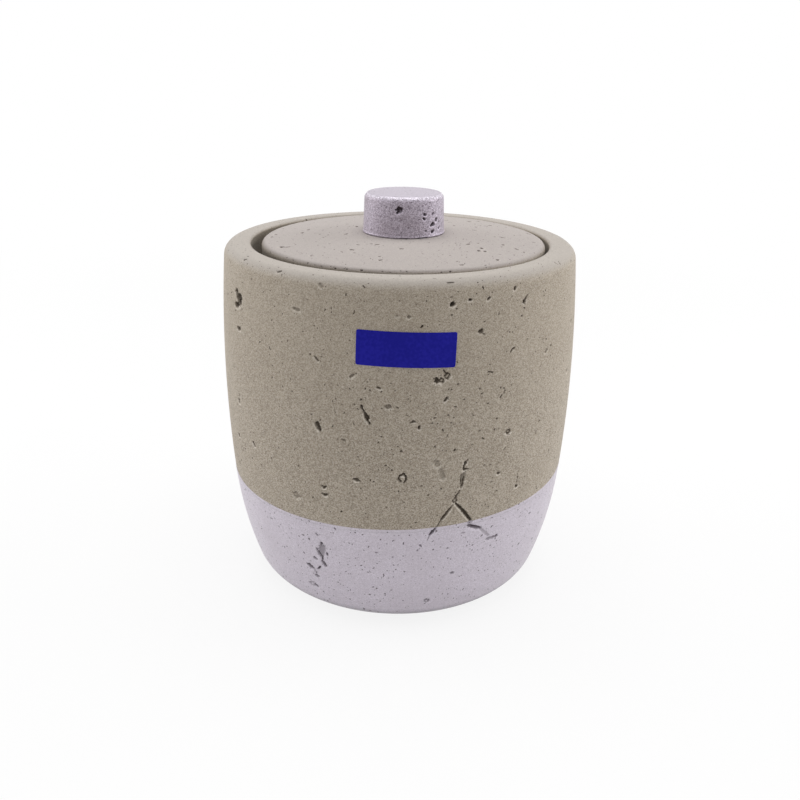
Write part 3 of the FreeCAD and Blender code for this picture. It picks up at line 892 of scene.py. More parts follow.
# %% [markdown]
# ## The painted band
#
# The band is a skin of its own with a crisp upper edge. Where the masking tape ended, the paint built up a
# fine bead just below the line, so a small relief is added there: a bell curve for the bead and a quarter
# round for the edge. The colour is made a little darker along the bead, as a faint line. The same crack is
# sunk into the band, so it runs on across the line.

# %% Painted band
bead_drop = 0.85 * MM
bead_width = 0.3 * MM
bead_rise = 0.06 * MM
bead_zone = 2 * MM
edge_round = 0.15 * MM
edge_fall = 0.09 * MM
# A darker line along the paint's bead, in the colour only.
bead_line_darkness = 0.16
bead_line_width = 0.27 * MM


def paint_edge(way):
    """Relief of the paint's upper edge: a bell curve below it, and a quarter round at it."""
    below = paint_way - way
    bead = bead_rise * np.exp(-((below - bead_drop) / bead_width) ** 2)
    left = np.clip(1 - below / edge_round, 0, 1)
    return bead - edge_fall * (1 - np.sqrt(1 - left ** 2))


def darker_bead_line(bearing, way):
    """Darkening of a fine line along the bead: full on the bead, and gone a line's width away."""
    return bead_line_darkness * (1 - smooth(0, bead_line_width, abs(paint_way - bead_drop - way)))


coat_ways = spaced(
    (0, foot_way, 1.5 * MM),
    (foot_way, base_way, 0.7 * MM),
    (base_way, paint_way - bead_zone, 0.75 * MM),
    (paint_way - bead_zone, paint_way - edge_round, 0.2 * MM),
    (paint_way - edge_round, paint_way, 0.05 * MM),
)
painted_band = round_piece(
    "painted_band", COLUMNS, [], behind_paint[::-1], skin, coat_ways, band_strokes + crack_strokes,
    closed=True, relief=paint_edge, darkening=darker_bead_line, layout=askew)
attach(painted_band, "jar")
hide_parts("base_coat")

# %% [markdown]
# ## The lid
#
# The lid is a shallow dish turned upside down: a crowned disc with a rounded edge, and below it a spigot that
# drops into the hollow. It was set down a little to the right of the jar's middle. Its outline runs up the
# side and inwards over the crown to the seat of the knob.

# %% Lid outline
lid_low, lid_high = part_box("lid")
lid_axis = (lid_low.x + lid_high.x) / 2
lid_radius = (lid_high.x - lid_low.x) / 2
lid_edge_radius = 1.5 * MM
lid_crown_radius = 360 * MM
seat_height = lid_high.z
seat_radius = 11.7 * MM
seat_rows_end = 10.5 * MM
flange_height = rim_height - 8 * MM
spigot_radius = hollow_radius - 1.3 * MM
spigot_chamfer = 0.8 * MM
bore_radius = 6 * MM
bore_height = 88.7 * MM
screw_hole_radius = 2.25 * MM

crown_centre = (0.0, seat_height - math.sqrt(lid_crown_radius ** 2 - seat_radius ** 2))
edge_reach = lid_crown_radius - lid_edge_radius
lid_edge_x = lid_radius - lid_edge_radius
lid_edge_centre = (lid_edge_x, crown_centre[1] + math.sqrt(edge_reach ** 2 - lid_edge_x ** 2))
crown_angle = math.atan2(lid_edge_centre[1] - crown_centre[1], lid_edge_x)
seat_angle = math.acos(seat_radius / lid_crown_radius)
lid_skin = trace(
    straight((lid_radius, flange_height), (lid_radius, lid_edge_centre[1])),
    bend(lid_edge_centre, lid_edge_radius, 0, crown_angle),
    bend(crown_centre, lid_crown_radius, crown_angle, seat_angle),
    straight((seat_radius, seat_height), (seat_rows_end, seat_height)),
)
lid_side_way, lid_edge_way, crown_way, seat_way = lid_skin["ends"]
print("lid: %.1f mm across, axis at x %.2f mm" % (2 * lid_radius / MM, lid_axis / MM))

# %% [markdown]
# ## Marks on the lid
#
# The lid lies almost flat before the camera, so its marks look much shorter than they are. They are listed
# like those on the wall, and made shallower by one factor, which also lightens their painted shade. A row of
# dots follows the front edge.

# %% Marks on the lid
LID_MARKS = [
    (308.2, 229.2, 1.6, 1.0, 0, 0.25), (302.2, 232.4, 1.8, 0.9, 0, 0.4),
    (275.8, 234.1, 1.2, 0.8, 20, 0.35), (271.7, 236.6, 1.3, 0.8, 0, 0.35),
    (319.8, 233.8, 0.9, 0.7, 0, 0.25), (327.6, 234.7, 1.0, 0.7, 0, 0.25),
    (323.3, 237.2, 0.6, 0.5, 0, 0.4), (346.1, 233.6, 1.5, 0.8, -40, 0.5),
    (281.4, 246.7, 1.5, 1.1, 40, 0.8), (287.4, 246.7, 1.8, 0.7, 60, 0.4),
    (329.5, 243.5, 0.6, 0.5, 0, 0.3), (324.4, 246.7, 0.6, 0.5, 0, 0.3), (357.7, 244.4, 1.0, 0.6, 0, 0.3),
    (377.1, 244.1, 1.3, 0.7, 10, 0.5), (371.1, 243.5, 0.8, 0.5, 0, 0.3), (352, 249.4, 1.5, 0.8, 0, 0.7),
    (354.4, 252.5, 0.9, 0.5, 0, 0.25), (341.5, 251.2, 0.8, 0.6, 0, 0.2), (311.4, 255.5, 1.0, 0.7, 0, 0.3),
    (379.4, 256, 0.9, 0.6, 0, 0.4), (380.3, 259.7, 1.1, 0.7, 20, 0.5), (401.5, 248.4, 1.2, 0.7, 0, 0.6),
    (463.3, 238.8, 0.6, 0.5, 0, 0.2), (494.9, 236.4, 0.7, 0.6, 0, 0.3),
    (502.3, 237.1, 1.8, 0.8, 70, 0.45), (514.2, 234.9, 0.9, 0.6, 0, 0.25),
    (468.2, 243.8, 1.6, 0.8, 0, 0.35), (455.4, 242.8, 0.6, 0.5, 0, 0.25),
    (456.5, 244.6, 0.5, 0.4, 0, 0.25), (478.1, 243, 0.8, 0.6, 0, 0.25), (482, 247.9, 1.4, 0.8, 60, 0.55),
    (479.1, 250.4, 1.3, 0.8, 60, 0.6), (485, 251, 1.1, 0.8, 30, 0.5), (503.3, 244.5, 1.2, 0.8, 30, 0.5),
    (501.6, 246.5, 0.7, 0.5, 0, 0.35), (516.6, 248.7, 1.4, 0.7, 70, 0.4),
    (524.1, 252.2, 0.8, 0.6, 0, 0.35), (533.9, 242, 1.2, 0.6, 80, 0.3), (514.2, 254.7, 0.7, 0.5, 0, 0.25),
    (461.8, 264.5, 1.3, 0.8, 0, 0.3), (457.3, 261.1, 0.7, 0.5, 0, 0.2),
    (497.4, 259.6, 1.2, 0.8, 30, 0.45), (485.5, 265, 0.7, 0.5, 0, 0.3),
    (286.5, 257.7, 0.35, 0.35, 0, 0.4), (292.7, 260.3, 0.4, 0.35, 0, 0.4),
    (307.5, 263.1, 0.45, 0.4, 0, 0.5), (314.2, 265.2, 0.3, 0.3, 0, 0.3),
    (320.9, 266.4, 0.4, 0.35, 0, 0.4), (335.3, 268.1, 0.45, 0.4, 0, 0.5),
    (346.6, 269.4, 0.4, 0.4, 0, 0.4), (361.4, 270.3, 0.6, 0.4, 0, 0.5), (382.2, 271.3, 0.3, 0.3, 0, 0.3),
    (390, 272.6, 0.3, 0.3, 0, 0.3), (406.6, 271.5, 0.4, 0.35, 0, 0.4), (441.5, 272.4, 0.4, 0.35, 0, 0.4),
    (450.2, 271.5, 0.45, 0.4, 0, 0.5),
]
# One factor makes the lid's pits shallower, which also lightens their painted shade.
LID_DEPTH = 0.65
LID_HIDDEN_FROM = 100
lid_back_pits = 46
shallow_lid_marks = [(*form, LID_DEPTH * depth) for *form, depth in LID_MARKS]
lid_strokes = pits_from_pixels(shallow_lid_marks, lid_skin, lid_axis)
lid_back = round_the_back(LID_HIDDEN_FROM)
lid_strokes += scattered(lid_back_pits, lid_back, (lid_edge_way, crown_way), lid_skin, largest=1.5)
print("lid:", len(lid_strokes), "strokes")

# %% [markdown]
# ## The lid as a piece
#
# The hidden underside closes the loop of the lid's rows: the screw hole, the wide bore for the screw's head,
# the spigot and the flange. The lid's upright edge lies in shade, most of all at the left and in front, so a
# painted shade darkens it and fades where the crown begins.

# %% Lid
LID_COLUMNS = 280
lid_ways = spaced(
    (0, lid_side_way, 1.1 * MM),
    (lid_side_way, lid_edge_way, 0.24 * MM),
    (lid_edge_way, crown_way, 0.7 * MM),
    (crown_way, seat_way, 0.7 * MM),
)
# Painted shade on the lid's upright edge, which lies in shade, darkest on the left and in front.
lid_edge_shade = 0.58
lid_edge_shade_fall = 0.7
lid_edge_shade_turn = (-0.3, 0.9)


def painted_lid_edge_shade(bearing, way):
    """Shade of the lid's edge: full on its upright side, gone on the crown, and weaker on the right."""
    share = 1 - lid_edge_shade_fall * smooth(*lid_edge_shade_turn, np.sin(bearing))
    return lid_edge_shade * share * (1 - smooth(lid_side_way, lid_edge_way, way))


underside = [
    (screw_hole_radius, seat_height), (screw_hole_radius, bore_height), (bore_radius, bore_height),
    (bore_radius, lid_low.z), (spigot_radius - spigot_chamfer, lid_low.z),
    (spigot_radius, lid_low.z + spigot_chamfer), (spigot_radius, flange_height),
]
lid = round_piece(
    "lid_casting", LID_COLUMNS, [], underside, lid_skin, lid_ways, lid_strokes, lid_axis, closed=True,
    darkening=painted_lid_edge_shade)
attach(lid, "lid")
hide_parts("lid")

# %% [markdown]
# ## The knob
#
# The knob is a separate little casting in the same paint as the band. It tapers a little, and its top edge is
# well rounded. Its outline starts with the chamfer at its foot and ends near the middle of its top.

# %% Knob outline
knob_low, knob_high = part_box("knob")
knob_foot_radius = (knob_high.x - knob_low.x) / 2
knob_chamfer = 0.15 * MM
knob_taper = 0.4 * MM
knob_edge_radius = 1.5 * MM
knob_middle = 0.8 * MM

knob_edge_height = knob_high.z - knob_edge_radius
knob_lean = knob_taper / (knob_high.z - knob_low.z)
knob_top_radius = knob_foot_radius - (knob_edge_height - knob_low.z) * knob_lean
knob_edge_centre = (knob_top_radius - knob_edge_radius, knob_edge_height)
knob_skin = trace(
    straight((knob_foot_radius - knob_chamfer, knob_low.z), (knob_foot_radius, knob_low.z + knob_chamfer)),
    straight((knob_foot_radius, knob_low.z + knob_chamfer), (knob_top_radius, knob_edge_height)),
    bend(knob_edge_centre, knob_edge_radius, 0, QUARTER),
    straight((knob_edge_centre[0], knob_high.z), (knob_middle, knob_high.z)),
)
foot_end, side_end, knob_edge_end, knob_top_end = knob_skin["ends"]
print("knob: %.1f mm across, %.1f mm tall" % (2 * knob_foot_radius / MM, (knob_high.z - knob_low.z) / MM))

# %% [markdown]
# ## Marks on the knob
#
# The knob's front has a star-shaped blow hole, drawn as a round pit with a few short strokes across it, and a
# swarm of smaller holes near its right edge. Two slim strokes at its foot are gaps in the joint.

# %% Marks on the knob
KNOB_MARKS = [
    (399.4, 210.4, 1.7, 1.6, 40, 0.5), (398.6, 208.6, 1.1, 0.8, 70, 0.9),
    (396.6, 210.2, 1.1, 0.45, -5, 0.7), (397.8, 212.4, 1.1, 0.6, 50, 0.8),
    (401.6, 209.6, 1.0, 0.45, 80, 0.7), (403.5, 239.1, 2.2, 0.3, 0, 0.35),
    (421.5, 238.1, 3.6, 0.35, 4, 0.35), (399.2, 220.2, 1.4, 1.4, 0, 0.12, RING),
    (425, 214.7, 1.0, 0.75, -20, 0.7), (433.1, 213.9, 1.0, 0.5, 55, 0.6),
    (424.2, 219, 1.0, 0.6, -45, 0.6), (436.4, 219.6, 1.1, 0.9, 80, 0.7), (432, 224.6, 1.5, 0.7, 45, 0.6),
    (433.6, 224.4, 1.1, 0.9, 80, 0.7), (439.1, 227.4, 1.0, 0.6, 40, 0.4),
    (425.9, 231.1, 0.7, 0.4, 10, 0.3), (432.8, 231.7, 1.3, 0.8, 15, 0.6),
]
KNOB_SPECKS = [
    (381.1, 222.2), (384.6, 217.4), (402.6, 199.4), (398.6, 198.1), (422.5, 206.5), (428.8, 208.5),
    (419.6, 219.6), (411, 203), (392, 219.6), (386.3, 207), (438.5, 199.5), (368.5, 197.5),
    (418.7, 234.8), (395.2, 229.9),
]
SPECK_FORM = (0.3, 0.26, 0, 0.25)
KNOB_HIDDEN_FROM = 80
knob_back_pits = 22
knob_pixels = KNOB_MARKS + [pixel + SPECK_FORM for pixel in KNOB_SPECKS]
knob_strokes = pits_from_pixels(knob_pixels, knob_skin, lid_axis)
knob_back = round_the_back(KNOB_HIDDEN_FROM)
knob_strokes += scattered(knob_back_pits, knob_back, (foot_end, side_end), knob_skin, largest=1.0)
print("knob:", len(knob_strokes), "strokes")

# %% [markdown]
# ## The knob as a piece
#
# Paint ran down the knob and pooled at its foot, so a bead stands out there as a bell curve. From below, the
# knob has the blind hole for the threaded insert: two plain rows come before the marked ones, and both ends
# close in poles.

# %% Knob
KNOB_COLUMNS = 120
knob_hole_radius = 3 * MM
knob_hole_top = 103.6 * MM
foot_bead_rise = 0.12 * MM
foot_bead_width = 0.22 * MM
foot_bead_widths = 4                # the bell curve has faded this many widths above the joint
foot_bead_end = foot_end + foot_bead_widths * foot_bead_width
knob_ways = spaced(
    (0, foot_end, 0.15 * MM),
    (foot_end, foot_bead_end, 0.12 * MM),
    (foot_bead_end, side_end, 0.5 * MM),
    (side_end, knob_edge_end, 0.2 * MM),
    (knob_edge_end, knob_top_end, 0.7 * MM),
)


def foot_bead(way):
    """Relief of the paint that pooled at the foot: a bell curve just above the joint."""
    return foot_bead_rise * np.exp(-((way - foot_end - foot_bead_width) / foot_bead_width) ** 2)


knob_hole = [(knob_hole_radius, knob_hole_top), (knob_hole_radius, knob_low.z)]
knob = round_piece(
    "knob_casting", KNOB_COLUMNS, knob_hole, [], knob_skin, knob_ways, knob_strokes, lid_axis,
    poles=(knob_hole_top, knob_high.z), relief=foot_bead)
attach(knob, "lid")
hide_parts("knob")

# %% [markdown]
# ## The label
#
# The label is a small plain blue sticker, set a little crooked. It is a thin slab: a grid of lengths across
# and up, once for its face and once for its back. Its corners are rounded by drawing the corner squares of
# the grid into quarter discs, and the steps are finer near the edges, where the film bends.

# %% Slab of the label
EDGE_STEPS = np.array([0, 0.04, 0.1, 0.2, 0.35, 0.5, 0.9]) * MM
label_step = 0.6 * MM
label_length = 23 * MM
label_tall = 8.3 * MM
label_corner = 0.5 * MM
NEARLY_ZERO = 1e-12


def slab_steps(half):
    """Places from one edge to the other, close together near both edges and even between them."""
    inner = np.linspace(EDGE_STEPS[-1] - half, half - EDGE_STEPS[-1], math.ceil(2 * half / label_step))
    return np.concatenate([EDGE_STEPS - half, inner[1:-1], half - EDGE_STEPS[::-1]])


def rounded_corners(across, up, half_across, half_up, radius):
    """Draw each corner square into a quarter disc: offsets shrink by the larger one over their length."""
    side = np.maximum(abs(across) - half_across + radius, 0)
    rise = np.maximum(abs(up) - half_up + radius, 0)
    shrink = np.maximum(side, rise) / np.maximum(np.hypot(side, rise), NEARLY_ZERO)
    shrink = np.where((side > 0) & (rise > 0), shrink, 1.0)
    return across - np.sign(across) * side * (1 - shrink), up - np.sign(up) * rise * (1 - shrink)


def slab_faces(rows, columns):
    """Faces of a slab: a grid on top, the same grid turned over below, and a strip round the edge."""
    index = np.arange(rows * columns).reshape(rows, columns)
    corners = [index[:-1, :-1], index[:-1, 1:], index[1:, 1:], index[1:, :-1]]
    top = np.stack(corners, axis=-1).reshape(-1, 4)
    below = top[:, ::-1] + rows * columns
    rim = np.concatenate([index[0], index[1:, -1], index[-1, -2::-1], index[-2:0:-1, 0]])
    after = np.roll(rim, -1)
    strip = np.column_stack([after, rim, rim + rows * columns, after + rows * columns])
    return [top, below, strip]


across, up = np.meshgrid(slab_steps(label_length / 2), slab_steps(label_tall / 2))
inset = np.minimum(label_length / 2 - abs(across), label_tall / 2 - abs(up))
across, up = rounded_corners(across, up, label_length / 2, label_tall / 2, label_corner)
print("label: a grid of %d by %d" % across.shape)

# %% [markdown]
# ## The label on the jar
#
# The grid is turned by the label's tilt, looked up on the jar's outline, and lifted by the glue and by the
# film's thickness. Here and there the edge has come a little loose, so a slow wave lifts it, and the face is
# rounded off towards the edge.

# %% Label
label_glue = 0.05 * MM
label_film = 0.12 * MM
label_drop = 15.6 * MM
label_bearing = math.radians(2.2)
label_tilt = math.radians(-1.6)
loose_lift = 0.05 * MM
loose_reach = 1.5 * MM
loose_wave = 2.7 * MM
loose_start = 1
loose_below = 0.5
face_round_share = 0.7
face_round_reach = 0.1 * MM

label_side = across * math.cos(label_tilt) - up * math.sin(label_tilt)
label_up = across * math.sin(label_tilt) + up * math.cos(label_tilt)
wall_part = skin["way"] > base_way
label_middle = np.interp(rim_height - label_drop, skin["place"][wall_part, 1], skin["way"][wall_part])
label_way = label_middle + label_up
label_radius, label_height = on_outline(skin, label_way, "place")
out_radius, out_height = on_outline(skin, label_way, "out")
label_turn = label_bearing + label_side / label_radius
loose_share = (1 + np.sin(across / loose_wave + loose_start)) / 2
loose = loose_lift * (1 - smooth(0, loose_reach, inset)) * loose_share
face_round = label_film * face_round_share * (1 - smooth(0, face_round_reach, inset))
label_points = []
for rise in (label_glue + label_film + loose - face_round, label_glue + loose_below * loose):
    lifted = turned(label_turn, label_radius + rise * out_radius, label_height + rise * out_height)
    label_points.append(lifted.reshape(-1, 3))
label = mesh_piece("label_film", np.concatenate(label_points), slab_faces(*across.shape))
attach(label, "jar")
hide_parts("label")

# %% [markdown]
# ## The seal ring and the foot pad
#
# Two soft pieces don't show until the lid is lifted or the jar is turned over: a silicone ring round the
# spigot, and a rubber disc let into the base. A moulded or punched edge is never sharp, so both are turned
# from a rectangle whose corners are small arcs.

# %% Seal ring and foot pad
SOFT_COLUMNS = 160
CORNER_POINTS = 4
soft_ease = 0.25 * MM
seal_gap = 0.3 * MM
ring_low, ring_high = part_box("lid_seal_ring")
ring_outer = (ring_high.x - ring_low.x) / 2


def eased_section(inner, outer, low, high, ease):
    """Outline of a rectangle with rounded corners, from its outer lower corner on; a disc has two of them."""
    corners = [(outer - ease, low + ease), (outer - ease, high - ease)]
    if inner > 0:
        corners += [(inner + ease, high - ease), (inner + ease, low + ease)]
    turns = [bend(corner, ease, (side - 1) * QUARTER, side * QUARTER) for side, corner in enumerate(corners)]
    return points_on(*((turn, CORNER_POINTS) for turn in turns))


ring_section = eased_section(spigot_radius + seal_gap, ring_outer, ring_low.z, ring_high.z, soft_ease)
seal_ring = round_piece("seal_ring", SOFT_COLUMNS, ring_section, [], axis_x=lid_axis, closed=True)
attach(seal_ring, "lid_seal")
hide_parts("lid_seal_ring")

pad_section = eased_section(0, pad_high.x, pad_low.z, pad_high.z, soft_ease)
foot_pad = round_piece("foot_pad", SOFT_COLUMNS, pad_section, [], poles=(pad_low.z, pad_high.z))
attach(foot_pad, "jar")
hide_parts("base_pad")

# %% [markdown]
# ## Helpers for shader nodes
#
# Writing node trees by hand is long, because every node is made, set and linked in separate lines. One small
# function does all three: it takes the kind of node, its inputs by name or number, and its settings. An
# input that is itself a socket becomes a link. The other helpers are short names for the nodes used most.

# %% Node helpers
def add(tree, kind, inputs=None, **settings):
    """Make a node, apply its settings, and set or link its inputs."""
    node = tree.nodes.new(kind)
    for name, value in settings.items():
        setattr(node, name, value)
    for name, value in (inputs or {}).items():
        if isinstance(value, bpy.types.NodeSocket):
            tree.links.new(value, node.inputs[name])
        else:
            node.inputs[name].default_value = value
    return node


def calc(tree, operation, *values):
    """One Math node: an operation on up to three sockets or numbers."""
    return add(tree, "ShaderNodeMath", dict(enumerate(values)), operation=operation).outputs[0]


def mix(tree, share, first, second):
    """Mix two colours by a share. A Mix node has its colour inputs at 6 and 7, and the result at 2."""
    node = add(tree, "ShaderNodeMix", {0: share, 6: first, 7: second}, data_type="RGBA")
    return node.outputs[2]


def ramp(tree, value, low, high, to_low=0.0, to_high=1.0):
    """Carry a value smoothly from one range to another, and stop at the ends, with a Map Range node."""
    limits = {0: value, 1: low, 2: high, 3: to_low, 4: to_high}
    return add(tree, "ShaderNodeMapRange", limits, interpolation_type="SMOOTHSTEP").outputs[0]


def mask(tree, name):
    """A mask that was filled when the piece was made."""
    return add(tree, "ShaderNodeAttribute", attribute_name=name).outputs["Fac"]


# %% [markdown]
# ## Node groups
#
# An effect that several finishes share is built once, as a group with named inputs and outputs, and each
# material places it with its own values. The place on the piece always comes in from the material.

# %% Helpers for node groups
def new_group(name, inputs, outputs):
    """An empty node group with float inputs, a place input, and float outputs."""
    tree = bpy.data.node_groups.new(name, "ShaderNodeTree")
    tree.interface.new_socket("Place", in_out="INPUT", socket_type="NodeSocketVector")
    for socket, value in inputs.items():
        tree.interface.new_socket(socket, in_out="INPUT", socket_type="NodeSocketFloat").default_value = value
    for socket in outputs:
        tree.interface.new_socket(socket, in_out="OUTPUT", socket_type="NodeSocketFloat")
    source = tree.nodes.new("NodeGroupInput")
    result = tree.nodes.new("NodeGroupOutput")
    return tree, source.outputs, result


def use_group(tree, group, inputs):
    """Place a node group in a material with its own values, and give its outputs."""
    return add(tree, "ShaderNodeGroup", inputs, node_tree=group).outputs


# %% [markdown]
# ## Sand grain and clouds
#
# Concrete and the paint over it have the same bones. Each grain of sand has a tone of its own, so a Voronoi
# pattern divides space into grains and gives every one a random number. A relief is noise of the same size. A
# cloud is noise at the size of a thumb, for the slow change of tone that a casting has.

# %% Sand grain and clouds
grain_group, grain_in, grain_out = new_group(
    "sand_grain", {"Grains": 2200.0, "Clouds": 60.0}, ["Tone", "Grain", "Cloud"])
grain_cells = add(grain_group, "ShaderNodeTexVoronoi", {
    "Vector": grain_in["Place"], "Scale": grain_in["Grains"]})
grain_tone = add(grain_group, "ShaderNodeSeparateColor", {0: grain_cells.outputs["Color"]}).outputs[0]
grain_noise = add(grain_group, "ShaderNodeTexNoise", {
    "Vector": grain_in["Place"], "Scale": grain_in["Grains"], "Detail": 1.0, "Roughness": 0.5})
cloud_noise = add(grain_group, "ShaderNodeTexNoise", {
    "Vector": grain_in["Place"], "Scale": grain_in["Clouds"], "Detail": 4.0, "Roughness": 0.6})
grain_group.links.new(grain_tone, grain_out.inputs["Tone"])
grain_group.links.new(grain_noise.outputs[0], grain_out.inputs["Grain"])
grain_group.links.new(cloud_noise.outputs[0], grain_out.inputs["Cloud"])
print("group:", grain_group.name)

# %% [markdown]
# ## Pinholes
#
# Pinholes are the spheres round the points of a coarser Voronoi pattern: where the surface cuts one, there is
# a hole, and the cell's random number decides how big it is. The points of a Voronoi pattern lie in a hidden
# lattice, and on a smooth wall its rows would show. So the place is first bent by slow noise.

# %% Pinholes
WARP_WAVES = 0.4                    # waves of the bending noise for each cell
WARP_CELLS = 3.0                    # how many cells the noise may shift a place
HOLE_RARITY = 2.0                   # a higher power makes large holes rarer
SMALLEST_HOLE = 0.001
HOLE_EDGE = (0.55, 1.0)

hole_group, hole_in, hole_out = new_group("pinholes", {"Holes": 420.0, "Largest": 0.16}, ["Hole"])
warp_scale = calc(hole_group, "MULTIPLY", hole_in["Holes"], WARP_WAVES)
warp = add(hole_group, "ShaderNodeTexNoise", {"Vector": hole_in["Place"], "Scale": warp_scale})
warp_reach = calc(hole_group, "DIVIDE", WARP_CELLS, hole_in["Holes"])
warp_steps = {0: warp.outputs["Color"], 1: warp_reach, 2: hole_in["Place"]}
bent = add(hole_group, "ShaderNodeVectorMath", warp_steps, operation="MULTIPLY_ADD").outputs[0]
cells = add(hole_group, "ShaderNodeTexVoronoi", {"Vector": bent, "Scale": hole_in["Holes"]})
chance = add(hole_group, "ShaderNodeSeparateColor", {0: cells.outputs["Color"]}).outputs[0]
hole_size = calc(hole_group, "MULTIPLY", hole_in["Largest"], calc(hole_group, "POWER", chance, HOLE_RARITY))
hole_radius = calc(hole_group, "ADD", hole_size, SMALLEST_HOLE)
hole_share = calc(hole_group, "DIVIDE", cells.outputs["Distance"], hole_radius)
hole_mask = ramp(hole_group, hole_share, *HOLE_EDGE, 1.0, 0.0)
hole_group.links.new(hole_mask, hole_out.inputs["Hole"])
print("group:", hole_group.name)

# %% [markdown]
# ## A new material
#
# Every finish starts from a Principled shader that reads the place on the piece in Object coordinates, so a
# pattern stays with the piece when it moves. Values that are the same all over are set on the shader's own
# sockets.

# %% A new material
def new_material(name, **plain):
    """A material with a Principled shader, whose plain values are set on its own sockets."""
    material = bpy.data.materials.new(name)
    material.use_nodes = True
    tree = material.node_tree
    shader = tree.nodes["Principled BSDF"]
    for socket, value in plain.items():
        shader.inputs[socket.replace("_", " ")].default_value = value
    place = add(tree, "ShaderNodeTexCoord").outputs["Object"]
    return material, tree, shader, place


def roughen(tree, shader, height, distance, strength=1.0):
    """Feed a height into the shader's normal through a bump of a given distance in metres."""
    bump = add(tree, "ShaderNodeBump", {"Height": height, "Distance": distance, "Strength": strength})
    tree.links.new(bump.outputs[0], shader.inputs["Normal"])


# Pinholes and sunken marks are darkened in the colour: a painted shade in their hollows.
PIT_DARKNESS = 0.95


def darkness(tree, holes, hollow, hole_darkness):
    """The larger of two shares: that of the pinholes and that of the sunken marks."""
    pinholes = calc(tree, "MULTIPLY", holes, hole_darkness)
    return calc(tree, "MAXIMUM", pinholes, calc(tree, "MULTIPLY", hollow, PIT_DARKNESS))


def dress(piece, material):
    """Give a piece one material."""
    piece.data.materials.clear()
    piece.data.materials.append(material)


# %% [markdown]
# ## Concrete
#
# Fine sandy concrete is matt, warm grey, and never one colour. Its base colour goes between a dark and a
# light grey by the cloud, and is flecked by light and dark grains. The sand settled while the cast was wet,
# so the grain is strongest low down. Faces that look up are paler and greyer: partly fine dust over the sand,
# partly painted light from above, and this tone is greyer on the lid than on the rim. Pinholes and the sunken
# pits are darkened as painted shade, and the lips below them get a pale painted highlight. A ramp is written
# as two limits and the two results at them, or as two limits alone if the results are zero and one.

# %% Concrete
CONCRETE_DARK = (0.405, 0.345, 0.272, 1)
CONCRETE_LIGHT = (0.432, 0.371, 0.296, 1)
CONCRETE_FLECK = (0.70, 0.64, 0.56, 1)
CONCRETE_SPECK = (0.15, 0.125, 0.10, 1)
# Colour of the painted shade in pinholes and sunken marks.
CONCRETE_HOLE = (0.021, 0.011, 0.004, 1)
# Tones of faces that look up: partly dust, partly painted light from above.
RIM_DUST_AND_TOP_LIGHT = (0.393, 0.36, 0.329, 1)
LID_DUST_AND_TOP_LIGHT = (0.371, 0.336, 0.324, 1)
SAND_BY_HEIGHT = (50 * MM, 85 * MM, 1.15, 0.8)
SAND_BY_SLOPE = (0.1, 0.9, 1.0, 0.3)
DUST_AND_TOP_LIGHT_BY_SLOPE = (0.1, 0.9, 0.0, 0.9)
CLOUDY = (0.35, 0.65)
LIGHT_GRAINS = (0.45, 1.0, 0.0, 0.47)
DARK_GRAINS = (0.0, 0.55, 0.51, 0.0)
# Painted highlight on lips, from the shade below zero.
CONCRETE_LIP_HIGHLIGHT = -1.0                 # turns the shade of a lip, below zero, into a share of flecks
CONCRETE_ROUGH = (0.3, 0.7, 0.95, 0.78)
CONCRETE_BUMP = (0.06 * MM, 0.6)


def concrete_finish(name, dust_and_top_light):
    """Cloudy grey, flecked by sand, dust and painted light on top, painted shade in holes, painted highlight
    on lips.
    """
    material, tree, shader, place = new_material(name, Specular_IOR_Level=0.25, Sheen_Weight=0.08)
    grain = use_group(tree, grain_group, {"Place": place, "Grains": 5400.0, "Clouds": 90.0})
    holes = use_group(tree, hole_group, {"Place": place, "Holes": 1150.0, "Largest": 0.3})["Hole"]
    hollow, upward = mask(tree, HOLLOW), mask(tree, UPWARD)
    height = add(tree, "ShaderNodeSeparateXYZ", {0: place}).outputs["Z"]
    sandy = calc(tree, "MULTIPLY", ramp(tree, height, *SAND_BY_HEIGHT), ramp(tree, upward, *SAND_BY_SLOPE))
    colour = mix(tree, ramp(tree, grain["Cloud"], *CLOUDY), CONCRETE_DARK, CONCRETE_LIGHT)
    # Faces that look up take a tone that is partly dust and partly painted light from above.
    colour = mix(tree, ramp(tree, upward, *DUST_AND_TOP_LIGHT_BY_SLOPE), colour, dust_and_top_light)
    light_grains = calc(tree, "MULTIPLY", ramp(tree, grain["Tone"], *LIGHT_GRAINS), sandy)
    colour = mix(tree, light_grains, colour, CONCRETE_FLECK)
    dark_grains = calc(tree, "MULTIPLY", ramp(tree, grain["Tone"], *DARK_GRAINS), sandy)
    colour = mix(tree, dark_grains, colour, CONCRETE_SPECK)
    # Painted highlight: the lips below the pits are made pale.
    lip = calc(tree, "MULTIPLY", calc(tree, "MULTIPLY", hollow, CONCRETE_LIP_HIGHLIGHT), sandy)
    colour = mix(tree, lip, colour, CONCRETE_FLECK)
    # Painted shade: pinholes and sunken marks are darkened.
    colour = mix(tree, darkness(tree, holes, hollow, hole_darkness=0.9), colour, CONCRETE_HOLE)
    tree.links.new(colour, shader.inputs["Base Color"])
    tree.links.new(ramp(tree, grain["Grain"], *CONCRETE_ROUGH), shader.inputs["Roughness"])
    relief = calc(tree, "MULTIPLY", calc(tree, "SUBTRACT", grain["Grain"], holes), sandy)
    roughen(tree, shader, relief, *CONCRETE_BUMP)
    return material


jar_concrete = concrete_finish("jar_concrete", RIM_DUST_AND_TOP_LIGHT)
lid_concrete = concrete_finish("lid_concrete", LID_DUST_AND_TOP_LIGHT)
dress(jar, jar_concrete)
dress(lid, lid_concrete)
print("materials:", jar_concrete.name, lid_concrete.name)

